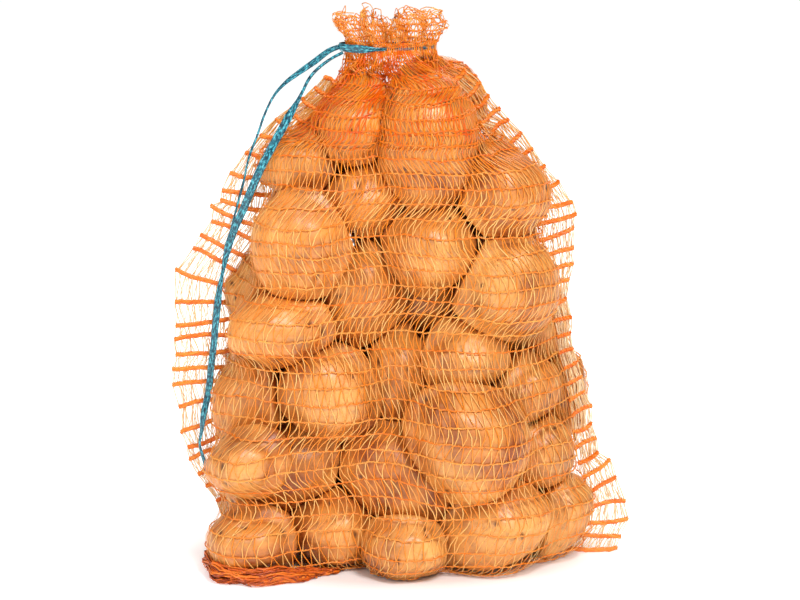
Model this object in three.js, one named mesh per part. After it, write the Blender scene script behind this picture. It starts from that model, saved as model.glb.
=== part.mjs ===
// A knitted net bag full of potatoes, standing upright, its neck drawn shut with a flat film tape.
// Millimetres, +Z up, the front is -Y. The origin is on the floor, under the middle of the bag.
import * as THREE from "three";

// The potatoes: a medium one's length, its width and its depth from front to back.
const POTATO_LENGTH = 68;
const POTATO_WIDTH = 56;
const POTATO_DEPTH = 52;
const POTATO_TAPER = 0.1; // how much thicker one end is than the middle
const POTATO_TURN = 12; // degrees that the long axis may turn away from the front

// The heap of potatoes inside: across the front, up to the top potato's middle, and how far back it reaches.
const FILL_WIDTH = 252;
const FILL_HEIGHT = 311;
const FILL_BACK = 72;
const CONTACT_GAP = 0.4; // left between pieces that touch

// The net: front and back panels sewn together at the sides and under the bottom.
const NET_WALL = 1.2;
const NET_CLEARANCE = 1; // inside of the net to the potatoes
const SEAM_GAP = 0.4;
const SEAM_BOW = 12; // how far behind the middle the bottom seam bows
const BAG_WIDTH = 268;
const BAG_DEPTH = 150;
const FOOT_ROUNDING = 9; // how far the net draws in where it meets the floor
const WINDOW_COLUMNS = 8; // cut-through windows across each panel
const WINDOW_ROWS = 6; // and up each panel
const BAR_WIDTH = 8; // upright bar between two windows
const BAR_HEIGHT = 8; // level bar between two windows
const WINDOW_FLOOR = 22; // foot of the lowest window
const WINDOW_TOP = FILL_HEIGHT - 42; // top of the highest window

// The tape that draws the neck in: flat film, with one loop round the neck and two runs that hang down the left side.
const TAPE_WIDTH = 6.5;
const TAPE_WALL = 1.2;
const LOOP_SIDES = 24;

// The drawn-in neck, the gathers under it and the ruffle over it.
const NECK_RISE = 31; // from the top of the highest potato
const NECK_COLLAR = TAPE_WIDTH + 2; // the height that the tape's loop has between the gathers and the ruffle
const NECK_WIDTH = 58;
const NECK_DEPTH = 26;
const NECK_OFFSET = -6;
const GATHER_FOOT = FILL_HEIGHT - 24; // where the gathers die out
const GATHER_DEPTH = 4.5;
const GATHER_FOLDS = 8; // in each panel
const GATHER_ROWS = 6;

const RUFFLE_HEIGHT = 21;
const RUFFLE_WALL = 2.2;
const RUFFLE_FOLD = 4;
const RUFFLE_FOLDS = 9;
const RUFFLE_DIP = 8; // how far the rim drops between its two lobes
const RUFFLE_DIP_WIDTH = 0.22; // as a share of the rim's half width
const RUFFLE_LEAN = -4; // how far the rim stands off to the left
const RUFFLE_SIDES = 45;

// The flaps outside the side seams, and the bunched hem at the foot of the left front corner.
const FLAP_WIDTH = 36;
const FLAP_WALL = 1.6;
const FLAP_WAVE = 5;
const FLAP_WAVE_LENGTH = 95;
const FLAP_TOP = 0.9; // share of the neck's height
const FLAP_SOLID = 13; // narrower stretches have no windows
const FLAP_STRIPES = [0, 0.16, 0.8, 1]; // across the flap, as shares: seam bar, windows, outer bar
const HEM_DEPTH = 11;
const HEM_CELLS = 8;
const HEM_ROLL = [0.7, 1, 0.45]; // the roll's depth at its foot, its middle and its top, as shares

// How the heap and the net settle.
const EASING_ROUNDS = 160;
const SEAT_HOLD = [0.08, 0.02, 0.08]; // share of the way back to its seat that a potato takes in each round
const TIGHTEN_ROUNDS = 150;
const LIFT_ROUNDS = 40;
const SMOOTH_ROUNDS = 12;
const SPOTS_ALONG = 6; // on a facet's side, where the net is held off the potatoes

// What the pieces are made of.
const TAPE_TEAL = new THREE.MeshStandardMaterial({ color: 0x1f7f93, roughness: 0.3, metalness: 0 });
const NET_ORANGE = new THREE.MeshStandardMaterial({ color: 0xf5821e, roughness: 0.55, metalness: 0 });
const POTATO_SKIN = new THREE.MeshStandardMaterial({ color: 0xdc9d5e, roughness: 0.7, metalness: 0 });

const bag = new THREE.Group();
const point = (x, y, z) => new THREE.Vector3(x, y, z);
const radians = THREE.MathUtils.degToRad;

function addPiece(name, geometry, material) {
  geometry.computeVertexNormals();
  const piece = new THREE.Mesh(geometry, material);
  piece.name = name;
  bag.add(piece);
  return piece;
}

// Potatoes. Across and up are shares of the heap's width and height, long, wide and deep are shares of a medium potato,
// tilt is the angle of the long axis above the level, in degrees, and ahead is how far in front of the others one sits,
// as a share of a medium potato's depth. The lowest come first.
const FRONT_POTATOES = [
  { across: -0.4, up: 0, long: 0.86, wide: 0.84, deep: 1.1, tilt: 5 },
  { across: -0.185, up: 0, long: 0.92, wide: 0.89, deep: 1.2, tilt: -5 },
  { across: 0.01, up: 0, long: 0.82, wide: 0.74, deep: 0.82, tilt: 0, ahead: 0.6 },
  { across: 0.277, up: 0, long: 1.19, wide: 1.04, deep: 1.25, tilt: 25 },
  { across: 0.43, up: 0.119, long: 0.82, wide: 0.72, deep: 1.05, tilt: 80 },
  { across: 0.39, up: 0.256, long: 0.76, wide: 0.79, deep: 1, tilt: 60 },
  { across: -0.42, up: 0.272, long: 0.74, wide: 0.71, deep: 1, tilt: 20 },
  { across: -0.35, up: 0.218, long: 1.34, wide: 0.98, deep: 1, tilt: 30 },
  { across: -0.013, up: 0.206, long: 1.29, wide: 1.18, deep: 1.08, tilt: -35 },
  { across: 0.215, up: 0.294, long: 1.26, wide: 1.32, deep: 1.1, tilt: -50 },
  { across: 0.35, up: 0.388, long: 0.74, wide: 0.79, deep: 1, tilt: 30 },
  { across: 0.148, up: 0.463, long: 0.88, wide: 0.8, deep: 0.95, tilt: 10 },
  { across: -0.423, up: 0.359, long: 0.97, wide: 0.82, deep: 1, tilt: 75 },
  { across: -0.188, up: 0.413, long: 1, wide: 1.09, deep: 1.1, tilt: -10 },
  { across: 0.019, up: 0.438, long: 0.94, wide: 0.8, deep: 1, tilt: 85 },
  { across: -0.4, up: 0.61, long: 0.6, wide: 0.64, deep: 0.8, tilt: 30 },
  { across: -0.337, up: 0.569, long: 1.03, wide: 0.82, deep: 1, tilt: 5 },
  { across: -0.09, up: 0.63, long: 0.98, wide: 0.95, deep: 0.95, tilt: 70 },
  { across: 0.3, up: 0.647, long: 1.06, wide: 1.18, deep: 1.1, tilt: 70 },
  { across: -0.273, up: 0.759, long: 1.12, wide: 1.11, deep: 1.05, tilt: 80 },
  { across: 0.067, up: 0.722, long: 0.91, wide: 1.02, deep: 1.1, tilt: 20 },
  { across: -0.085, up: 0.856, long: 0.84, wide: 0.77, deep: 0.9, tilt: 10 },
  { across: -0.262, up: 0.912, long: 0.76, wide: 0.79, deep: 0.85, tilt: 15 },
  { across: 0.281, up: 0.862, long: 0.91, wide: 1, deep: 0.95, tilt: -50 },
  { across: 0.065, up: 0.94, long: 1.19, wide: 1.13, deep: 0.92, tilt: 85 },
  { across: -0.138, up: 1, long: 0.76, wide: 0.79, deep: 0.85, tilt: 60 },
];

// The potatoes behind them, dropped in from above. Back is a share of how far the heap reaches behind the middle.
const BACK_POTATOES = [
  { across: -0.37, back: 1, long: 0.94, wide: 1.05, deep: 1.1, tilt: 4 },
  { across: -0.123, back: 1, long: 0.93, wide: 1.1, deep: 1.08, tilt: -6 },
  { across: 0.131, back: 1, long: 0.96, wide: 1.05, deep: 1.1, tilt: 8 },
  { across: 0.377, back: 1, long: 0.9, wide: 1, deep: 1.08, tilt: -4 },
  { across: -0.27, back: 0.98, long: 1, wide: 1.05, deep: 1.25, tilt: -12 },
  { across: -0.015, back: 1, long: 0.94, wide: 1.1, deep: 1.3, tilt: 10 },
  { across: 0.246, back: 0.98, long: 0.97, wide: 1.05, deep: 1.25, tilt: -8 },
  { across: 0.43, back: 0.85, long: 0.75, wide: 0.9, deep: 1, tilt: 70 },
  { across: -0.377, back: 0.92, long: 0.85, wide: 1, deep: 1.2, tilt: 20 },
  { across: -0.131, back: 0.96, long: 0.94, wide: 1.05, deep: 1.25, tilt: 6 },
  { across: 0.115, back: 0.96, long: 0.9, wide: 1.1, deep: 1.25, tilt: -10 },
  { across: 0.354, back: 0.9, long: 0.88, wide: 1, deep: 1.15, tilt: 12 },
  { across: -0.254, back: 0.88, long: 1, wide: 1.05, deep: 1.15, tilt: -5 },
  { across: 0.03, back: 0.9, long: 1.1, wide: 1.1, deep: 1.2, tilt: 0 },
  { across: 0.27, back: 0.84, long: 0.9, wide: 1.05, deep: 1.15, tilt: 30 },
  { across: -0.27, back: 0.74, long: 0.95, wide: 0.95, deep: 1.05, tilt: 24 },
  { across: -0.03, back: 0.82, long: 0.9, wide: 1.05, deep: 1.1, tilt: -6 },
  { across: 0.2, back: 0.78, long: 0.95, wide: 1, deep: 1.05, tilt: 16 },
  { across: -0.14, back: 0.66, long: 0.9, wide: 0.9, deep: 0.95, tilt: -18 },
  { across: 0.09, back: 0.68, long: 0.9, wide: 0.95, deep: 0.95, tilt: 12 },
];

// One potato's solid at the origin: an egg, its long axis tilted in the front view. The sines of far-stepped numbers give
// each potato its own taper and turn.
function potatoGeometry(row, index) {
  const geometry = new THREE.IcosahedronGeometry(1, 1);
  const half = point(row.long * POTATO_LENGTH, row.deep * POTATO_DEPTH, row.wide * POTATO_WIDTH).divideScalar(2);
  const taper = POTATO_TAPER * Math.sin(2.4 * index);
  const corners = geometry.attributes.position;
  const corner = new THREE.Vector3();
  for (let k = 0; k < corners.count; k++) {
    corner.fromBufferAttribute(corners, k);
    const girth = 1 + taper * corner.x;
    corners.setXYZ(k, corner.x * half.x, corner.y * half.y * girth, corner.z * half.z * girth);
  }
  geometry.rotateZ(radians(POTATO_TURN * Math.sin(5.1 * index)));
  geometry.rotateY(-radians(row.tilt));
  return geometry;
}

// A potato's corners, each once.
function cornersOf(geometry) {
  const found = new Map();
  const position = geometry.attributes.position;
  for (let k = 0; k < position.count; k++) {
    const corner = new THREE.Vector3().fromBufferAttribute(position, k);
    found.set(corner.toArray().map((value) => value.toFixed(3)).join(), corner);
  }
  return [...found.values()];
}

// The nearest way between two convex pieces: the Gilbert-Johnson-Keerthi search on their corners.
function farthest(corners, direction) {
  let best = corners[0];
  let most = -Infinity;
  for (const corner of corners) {
    const reach = corner.dot(direction);
    if (reach > most) {
      most = reach;
      best = corner;
    }
  }
  return best;
}

// Solves a few equations, each a row of factors and then its value. Null where they have no single answer.
function solve(rows) {
  const size = rows.length;
  for (let pivot = 0; pivot < size; pivot++) {
    let best = pivot;
    for (let k = pivot + 1; k < size; k++) if (Math.abs(rows[k][pivot]) > Math.abs(rows[best][pivot])) best = k;
    [rows[pivot], rows[best]] = [rows[best], rows[pivot]];
    if (Math.abs(rows[pivot][pivot]) < 1e-9) return null;
    for (let k = 0; k < size; k++) {
      if (k === pivot) continue;
      const factor = rows[k][pivot] / rows[pivot][pivot];
      for (let column = pivot; column <= size; column++) rows[k][column] -= factor * rows[pivot][column];
    }
  }
  return rows.map((row, k) => row[size] / row[k]);
}

// The point nearest the origin on the flat that some points span, or null where it lies outside them.
function nearestOnFlat([first, ...others]) {
  const edges = others.map((other) => other.clone().sub(first));
  const shares = solve(edges.map((edge) => [...edges.map((other) => edge.dot(other)), -edge.dot(first)]));
  if (!shares || shares.some((share) => share < 0) || shares.reduce((sum, share) => sum + share, 0) > 1) return null;
  return edges.reduce((sum, edge, k) => sum.addScaledVector(edge, shares[k]), first.clone());
}

function nearestOnHull(points) {
  let best = null;
  for (let subset = 1; subset < 1 << points.length; subset++) {
    const used = points.filter((_, k) => subset & (1 << k));
    const nearest = nearestOnFlat(used);
    if (nearest && (!best || nearest.lengthSq() < best.nearest.lengthSq() - 1e-9)) best = { nearest, used };
  }
  return best;
}

function separation(moving, fixed) {
  let nearest = moving[0].clone().sub(fixed[0]);
  let simplex = [nearest];
  for (let step = 0; step < 40; step++) {
    const corner = farthest(moving, nearest.clone().negate()).clone().sub(farthest(fixed, nearest));
    if (nearest.lengthSq() - nearest.dot(corner) < 1e-5) break;
    const found = nearestOnHull([...simplex, corner]);
    nearest = found.nearest;
    simplex = found.used;
    if (nearest.lengthSq() < 1e-8) break;
  }
  return nearest;
}

// Moves a potato one way until it comes within the contact gap of another, and no farther than a given way.
// Gives back whether it met one.
function slide(potato, direction, way, placed) {
  let left = way;
  for (let step = 0; step < 60; step++) {
    let free = left;
    for (const other of placed) {
      const between = potato.middle.clone().sub(other.middle);
      const aside = Math.sqrt(Math.max(0, between.lengthSq() - between.dot(direction) ** 2));
      if (aside > potato.reach + other.reach) continue;
      const apart = separation(potato.corners, other.corners);
      const gap = apart.length();
      const closing = -apart.dot(direction) / gap;
      if (closing > 1e-3) free = Math.min(free, Math.max(0, gap - CONTACT_GAP) / closing);
    }
    if (free < 0.01) return left > 0.01;
    shift(potato, direction.clone().multiplyScalar(free));
    left -= free;
    if (left < 0.01) return false;
  }
  return true;
}

function shift(potato, by) {
  potato.middle.add(by);
  potato.corners.forEach((corner) => corner.add(by));
}

function loosePotato(row, index) {
  const geometry = potatoGeometry(row, index);
  const corners = cornersOf(geometry);
  const reach = Math.max(...corners.map((corner) => corner.length()));
  return { geometry, corners, reach, middle: point(0, 0, 0) };
}

// Settles the heap: the back potatoes drop from above, the front ones are pushed in from the front until they touch.
const potatoFloor = NET_WALL + CONTACT_GAP;
const lowest = (potato) => Math.min(...potato.corners.map((corner) => corner.z));
const DOWN = point(0, 0, -1);
const BACKWARD = point(0, 1, 0);
const FAR_AWAY = 2 * (FILL_HEIGHT + POTATO_LENGTH);
const placed = [];

BACK_POTATOES.forEach((row, k) => {
  const potato = loosePotato(row, k + 1);
  const middleBack = row.back * FILL_BACK - (row.deep * POTATO_DEPTH) / 2;
  shift(potato, point(row.across * FILL_WIDTH, middleBack, FAR_AWAY));
  slide(potato, DOWN, lowest(potato) - potatoFloor, placed);
  potato.name = "potato_back_" + String(k + 1).padStart(2, "0");
  placed.push(potato);
});

const fronts = FRONT_POTATOES.map((row, k) => {
  const potato = loosePotato(row, k + 31);
  const ahead = (row.deep / 2 + (row.ahead ?? 0)) * POTATO_DEPTH;
  shift(potato, point(row.across * FILL_WIDTH, -ahead, row.up * FILL_HEIGHT));
  shift(potato, point(0, 0, Math.max(0, potatoFloor - lowest(potato))));
  potato.seat = potato.middle.clone();
  potato.name = "potato_front_" + String(k + 1).padStart(2, "0");
  return potato;
});

// Eases the front potatoes apart, each held near its seat: two that overlap push each other along the line between them.
const depthAlong = (potato, direction) => farthest(potato.corners, direction).clone().sub(potato.middle).dot(direction);
for (let round = 0; round < EASING_ROUNDS; round++) {
  for (const potato of fronts) {
    shift(potato, potato.seat.clone().sub(potato.middle).multiply(point(...SEAT_HOLD)));
    for (const other of [...placed, ...fronts]) {
      const between = potato.middle.clone().sub(other.middle);
      const distance = between.length();
      if (other === potato || distance > potato.reach + other.reach) continue;
      between.divideScalar(distance);
      const together = depthAlong(other, between) + depthAlong(potato, between.clone().negate());
      const overlap = together + CONTACT_GAP - distance;
      if (overlap <= 0) continue;
      const shared = placed.includes(other) ? 1 : 0.5;
      shift(potato, between.clone().multiplyScalar(overlap * shared));
      if (shared < 1) shift(other, between.clone().multiplyScalar(-overlap * shared));
    }
    shift(potato, point(0, 0, Math.max(0, potatoFloor - lowest(potato))));
  }
}

// Then each is pushed back from the front until it touches, the hindmost first.
fronts.sort((one, other) => other.middle.y - one.middle.y);
for (const potato of fronts) {
  shift(potato, point(0, -FAR_AWAY, Math.max(0, potatoFloor - lowest(potato))));
  const met = slide(potato, BACKWARD, FAR_AWAY + POTATO_DEPTH / 2, placed);
  if (!met) slide(potato, DOWN, lowest(potato) - potatoFloor, placed);
  placed.push(potato);
}

for (const potato of placed) {
  const piece = addPiece(potato.name, potato.geometry, POTATO_SKIN);
  piece.position.copy(potato.middle);
}

// The neck is drawn in over the highest potato, whatever the heap settles to.
const heapTop = Math.max(...placed.flatMap((potato) => potato.corners.map((corner) => corner.z)));
const neckHeight = heapTop + NECK_RISE;
const neckFoot = neckHeight - NECK_COLLAR;
const ruffleFoot = neckHeight + SEAM_GAP;

// The net's rows, from the floor up: a level bar, a window of two cells, and so on, then the gathers.
const windowPitch = (WINDOW_TOP - WINDOW_FLOOR + BAR_HEIGHT) / WINDOW_ROWS;
const netRows = [
  { height: 0, open: false },
  { height: WINDOW_FLOOR / 3, open: false },
];
for (let k = 0; k < WINDOW_ROWS; k++) {
  const foot = WINDOW_FLOOR + k * windowPitch;
  const top = foot + windowPitch - BAR_HEIGHT;
  netRows.push({ height: foot, open: true }, { height: (foot + top) / 2, open: true }, { height: top, open: false });
}
for (let k = 1; k <= GATHER_ROWS; k++) {
  netRows.push({ height: WINDOW_TOP + ((neckFoot - WINDOW_TOP) * k) / GATHER_ROWS, open: false });
}
netRows.push({ height: neckHeight, open: false });

// The columns of one panel, as shares of the half turn from seam to seam, with a window of two cells between bars.
const panelArc = (Math.PI * (BAG_WIDTH + BAG_DEPTH)) / 4;
const windowArc = (panelArc - BAR_WIDTH * (WINDOW_COLUMNS + 1)) / WINDOW_COLUMNS;
const panelColumns = [{ turn: 0, open: false }];
for (let k = 0; k < WINDOW_COLUMNS; k++) {
  const start = BAR_WIDTH + k * (BAR_WIDTH + windowArc);
  panelColumns.push({ turn: start / panelArc, open: true });
  panelColumns.push({ turn: (start + windowArc / 2) / panelArc, open: true });
  panelColumns.push({ turn: (start + windowArc) / panelArc, open: false });
}
panelColumns.push({ turn: 1, open: false });

// The spokes that the net is measured along go round the whole bag, from the right seam by the back to the right seam.
const spokes = [];
for (const panel of [0, 1]) {
  panelColumns.slice(0, -1).forEach((column) => {
    const turn = (panel + column.turn) * Math.PI;
    spokes.push(point(BAG_WIDTH * Math.cos(turn), BAG_DEPTH * Math.sin(turn), 0).normalize());
  });
}
const spokeCount = spokes.length;
const spokeAt = (k) => spokes[(k + spokeCount) % spokeCount];

// How far out the potatoes reach along one spoke at one height.
function potatoReach(spoke, height) {
  const ray = new THREE.Ray(point(0, 0, height), spoke);
  const hit = new THREE.Vector3();
  let reach = 0;
  for (const potato of placed) {
    if (Math.abs(potato.middle.z - height) > potato.reach) continue;
    const position = potato.geometry.attributes.position;
    const corner = [0, 1, 2].map(() => new THREE.Vector3());
    for (let k = 0; k < position.count; k += 3) {
      corner.forEach((each, i) => each.fromBufferAttribute(position, k + i).add(potato.middle));
      if (ray.intersectTriangle(...corner, false, hit)) reach = Math.max(reach, Math.hypot(hit.x, hit.y));
    }
  }
  return reach;
}

// The net drawn tight over the potatoes: each point settles at the mean of its neighbours, but never inside a potato.
const neckReach = (spoke) => 1 / Math.hypot(spoke.x / (NECK_WIDTH / 2), spoke.y / (NECK_DEPTH / 2));
const clearOut = NET_WALL + NET_CLEARANCE;
const lastRow = netRows.length - 1;
const obstacle = netRows.map(({ height }) => spokes.map((spoke) => potatoReach(spoke, height) + clearOut));
const reach = obstacle.map((row) => row.map((value) => Math.max(value, NECK_WIDTH / 2)));
const rowGap = (row) => netRows[row + 1].height - netRows[row].height;

// Where a spoke meets the straight line between the net's two points beside it.
function chordReach(row, k) {
  const before = spokeAt(k - 1).clone().multiplyScalar(reach[row][(k + spokeCount - 1) % spokeCount]);
  const along = spokeAt(k + 1).clone().multiplyScalar(reach[row][(k + 1) % spokeCount]).sub(before);
  return before.clone().cross(along).z / spokeAt(k).clone().cross(along).z;
}

function tighten(rounds) {
  for (let round = 0; round < rounds; round++) {
    for (const row of [lastRow, lastRow - 1]) spokes.forEach((spoke, k) => (reach[row][k] = neckReach(spoke)));
    for (let row = lastRow - 2; row > 0; row--) {
      const [under, over] = [rowGap(row - 1), rowGap(row)];
      for (let k = 0; k < spokeCount; k++) {
        const beside = chordReach(row, k);
        const upright = (reach[row + 1][k] * under + reach[row - 1][k] * over) / (under + over);
        reach[row][k] = Math.max(obstacle[row][k], (beside + upright) / 2);
      }
    }
    for (let k = 0; k < spokeCount; k++) {
      reach[0][k] = Math.max(obstacle[0][k], reach[1][k] - FOOT_ROUNDING);
    }
  }
}
tighten(TIGHTEN_ROUNDS);

// How far the gathers stand out of the net at one column, from nothing at their foot to full depth at the neck.
const panelCells = panelColumns.length - 1;
function gather(row, k) {
  const share = THREE.MathUtils.smoothstep(netRows[row].height, GATHER_FOOT, neckFoot);
  return share * GATHER_DEPTH * (0.5 + 0.5 * Math.cos((2 * Math.PI * GATHER_FOLDS * k) / panelCells));
}

// A point of the net on one spoke: on its outside, or some way in from there.
function netPoint(row, k, inward) {
  const spoke = spokeAt(k);
  const out = reach[row][(k + spokeCount) % spokeCount] + gather(row, k) - inward;
  const lean = NECK_OFFSET * THREE.MathUtils.smoothstep(netRows[row].height, GATHER_FOOT, neckFoot);
  return point(out * spoke.x + lean, out * spoke.y, row === 0 ? Math.max(0, inward) : netRows[row].height);
}

// Lifts the net's flat facets wherever a potato would still press through one. Gives back whether it had to.
function liftOverPotatoes() {
  const ray = new THREE.Ray();
  const hit = new THREE.Vector3();
  const shares = new THREE.Vector3();
  let lifted = false;
  for (const spot of potatoSpots) {
    const out = Math.hypot(spot.x, spot.y);
    ray.origin.set(0, 0, spot.z);
    ray.direction.set(spot.x / out, spot.y / out, 0);
    const row = netRows.findIndex((_, j) => j < lastRow && netRows[j + 1].height > spot.z);
    const middle = spokes.findIndex((spoke, i) => {
      const next = spokeAt(i + 1);
      return spoke.x * spot.y - spoke.y * spot.x >= 0 && next.x * spot.y - next.y * spot.x < 0;
    });
    for (let k = middle - 1; k <= middle + 1 && row >= 0; k++) {
      const cell = [[row, k], [row, k + 1], [row + 1, k + 1], [row + 1, k]];
      for (const half of [[0, 1, 2], [0, 2, 3]]) {
        const corners = half.map((i) => netPoint(...cell[i], NET_WALL));
        if (!ray.intersectTriangle(...corners, false, hit)) continue;
        const short = out + NET_CLEARANCE - Math.hypot(hit.x, hit.y);
        if (short <= 1e-3) continue;
        lifted = true;
        THREE.Triangle.getBarycoord(hit, ...corners, shares);
        half.forEach((i, corner) => {
          const share = shares.getComponent(corner) / shares.lengthSq();
          reach[cell[i][0]][(cell[i][1] + spokeCount) % spokeCount] += short * share;
        });
      }
    }
  }
  return lifted;
}

// Spots all over the potatoes: their corners, and points along each edge and over each facet.
const potatoSpots = [];
for (const potato of placed) {
  const position = potato.geometry.attributes.position;
  for (let k = 0; k < position.count; k += 3) {
    const corner = [0, 1, 2].map((i) => new THREE.Vector3().fromBufferAttribute(position, k + i).add(potato.middle));
    for (let a = 0; a <= SPOTS_ALONG; a++) {
      for (let b = 0; a + b <= SPOTS_ALONG; b++) {
        const shares = [a, b, SPOTS_ALONG - a - b].map((part) => part / SPOTS_ALONG);
        const spot = new THREE.Vector3();
        corner.forEach((each, i) => spot.addScaledVector(each, shares[i]));
        potatoSpots.push(spot);
      }
    }
  }
}
for (let round = 0; round < LIFT_ROUNDS && liftOverPotatoes(); round++);
// What the lifting left jagged is drawn out smooth, never further in.
reach.forEach((row, j) => row.forEach((value, k) => (obstacle[j][k] = value)));
tighten(SMOOTH_ROUNDS);

// A wall between an outer and an inner grid of points, with some cells left open.
function wall({ columns, rows, outer, inner, isOpen = () => false }) {
  const spots = [];
  const face = (a, b, c, d) => spots.push(a, b, c, a, c, d);
  const closed = (k, row) => k >= 0 && row >= 0 && k < columns && row < rows && !isOpen(k, row);
  for (let row = 0; row < rows; row++) {
    for (let k = 0; k < columns; k++) {
      if (!closed(k, row)) continue;
      const ring = [[k, row], [k + 1, row], [k + 1, row + 1], [k, row + 1]];
      const out = ring.map((at) => outer(...at));
      const into = ring.map((at) => inner(...at));
      face(...out);
      face(into[0], into[3], into[2], into[1]);
      const beyond = [[k, row - 1], [k + 1, row], [k, row + 1], [k - 1, row]];
      beyond.forEach((at, side) => {
        const next = (side + 1) % 4;
        if (!closed(...at)) face(out[next], out[side], into[side], into[next]);
      });
    }
  }
  const kept = [];
  for (let k = 0; k < spots.length; k += 3) {
    const [a, b, c] = [spots[k], spots[k + 1], spots[k + 2]];
    if (a.distanceTo(b) > 1e-3 && b.distanceTo(c) > 1e-3 && c.distanceTo(a) > 1e-3) kept.push(a, b, c);
  }
  return new THREE.BufferGeometry().setFromPoints(kept);
}

// One panel of the net: the bottom seam, the foot, and then the rows up to the neck.
function panelGeometry(panel) {
  const first = panel * panelCells;
  const side = panel === 0 ? 1 : -1;
  const grid = (inward) => (k, row) => {
    const spot = netPoint(Math.max(0, row - 1), first + k, inward);
    if (k === 0 || k === panelCells) spot.y = (side * SEAM_GAP) / 2;
    if (row > 0) return spot;
    const [right, left] = [netPoint(0, 0, inward).x, netPoint(0, panelCells, inward).x];
    const turn = (panel + panelColumns[k].turn) * Math.PI;
    spot.x = THREE.MathUtils.lerp(left, right, (1 + Math.cos(turn)) / 2);
    spot.y = (side * SEAM_GAP) / 2 + SEAM_BOW * Math.sin(turn) ** 2;
    return spot;
  };
  return wall({
    columns: panelCells,
    rows: netRows.length,
    outer: grid(0),
    inner: grid(NET_WALL),
    isOpen: (k, row) => row > 0 && netRows[row - 1].open && panelColumns[k].open,
  });
}

addPiece("net_back", panelGeometry(0), NET_ORANGE);
addPiece("net_front", panelGeometry(1), NET_ORANGE);

// The flaps: what is left of both panels outside the side seams, one doubled wall each. Up is a share of the neck's height
// and out a share of the flap's full width, from the seam outwards.
const LEFT_FLAP = [
  { up: 0.02, out: 0.12 },
  { up: 0.16, out: 0.25 },
  { up: 0.22, out: 0.55 },
  { up: 0.32, out: 0.65 },
  { up: 0.43, out: 1 },
  { up: 0.54, out: 1 },
  { up: 0.66, out: 0.78 },
  { up: 0.72, out: 0.76 },
  { up: 0.79, out: 0.55 },
  { up: 0.9, out: 0.2 },
];
const RIGHT_FLAP = [
  { up: 0.02, out: 1 },
  { up: 0.1, out: 0.85 },
  { up: 0.18, out: 0.66 },
  { up: 0.27, out: 0.42 },
  { up: 0.36, out: 0.24 },
  { up: 0.5, out: 0.25 },
  { up: 0.56, out: 0.55 },
  { up: 0.62, out: 0.6 },
  { up: 0.7, out: 0.45 },
  { up: 0.76, out: 0.3 },
  { up: 0.9, out: 0.3 },
];

function flapGeometry(table, seam, side) {
  const flapTop = FLAP_TOP * neckHeight;
  const rows = netRows.map((_, row) => row).filter((row) => row > 0 && netRows[row].height <= flapTop);
  const outAt = (height) => {
    const up = THREE.MathUtils.clamp(height / neckHeight, table[0].up, table.at(-1).up - 1e-6);
    const k = table.findIndex((_, i) => table[i + 1].up > up);
    const share = (up - table[k].up) / (table[k + 1].up - table[k].up);
    return FLAP_WIDTH * THREE.MathUtils.lerp(table[k].out, table[k + 1].out, share);
  };
  // The seam edge stands clear of both panels, also where they bulge beside the seam.
  const seamEdge = (row) => {
    const at = netPoint(row, seam, 0);
    const beside = [-1, 1].map((step) => netPoint(row, seam + step, 0));
    const bulges = beside.map((next) => (side * (next.x - at.x) * FLAP_WALL) / Math.abs(next.y));
    return at.x + side * (SEAM_GAP + Math.max(0, ...bulges));
  };
  const spot = (k, j, face) => {
    const row = rows[j];
    const height = netRows[row].height;
    const share = FLAP_STRIPES[k];
    const wave = FLAP_WAVE * share * Math.sin((2 * Math.PI * height) / FLAP_WAVE_LENGTH);
    return point(seamEdge(row) + side * outAt(height) * share, wave + (face * FLAP_WALL) / 2, height);
  };
  return wall({
    columns: FLAP_STRIPES.length - 1,
    rows: rows.length - 1,
    outer: (k, j) => spot(k, j, -side),
    inner: (k, j) => spot(k, j, side),
    isOpen: (k, j) => k === 1 && j % 2 === 1 && outAt(netRows[rows[j]].height) > FLAP_SOLID,
  });
}

addPiece("side_flap_left", flapGeometry(LEFT_FLAP, panelCells, -1), NET_ORANGE);
addPiece("side_flap_right", flapGeometry(RIGHT_FLAP, 0, 1), NET_ORANGE);

// The bottom hem, bunched into a thick roll along the foot of the left front corner.
addPiece(
  "bottom_hem",
  wall({
    columns: HEM_CELLS,
    rows: 2,
    // It swells and thins along its length, and runs out at both ends.
    outer: (k, row) => {
      const bunch = 0.55 + 0.45 * Math.sin(2.3 * k) ** 2;
      const ends = Math.sin((Math.PI * (k + 0.6)) / (HEM_CELLS + 1.2));
      return netPoint(row, panelCells + 1 + k, -SEAM_GAP - HEM_DEPTH * HEM_ROLL[row] * bunch * ends);
    },
    inner: (k, row) => netPoint(row, panelCells + 1 + k, -SEAM_GAP),
  }),
  NET_ORANGE,
);

// A closed solid through rings of equally many points: capped at both ends, or joined end to end.
function ringSolid(rings, joined = false) {
  const spots = [];
  const size = rings[0].length;
  const next = (k) => (k + 1) % size;
  rings.forEach((ring, row) => {
    const over = rings[row + 1] ?? (joined ? rings[0] : null);
    if (!over) return;
    for (let k = 0; k < size; k++) {
      spots.push(ring[k], ring[next(k)], over[next(k)], ring[k], over[next(k)], over[k]);
    }
  });
  const middle = (ring) => ring.reduce((sum, spot) => sum.add(spot), point(0, 0, 0)).divideScalar(size);
  const [first, last] = [rings[0], rings.at(-1)];
  for (let k = 0; k < size && !joined; k++) {
    spots.push(middle(first), first[next(k)], first[k], middle(last), last[k], last[next(k)]);
  }
  return new THREE.BufferGeometry().setFromPoints(spots);
}

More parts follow.
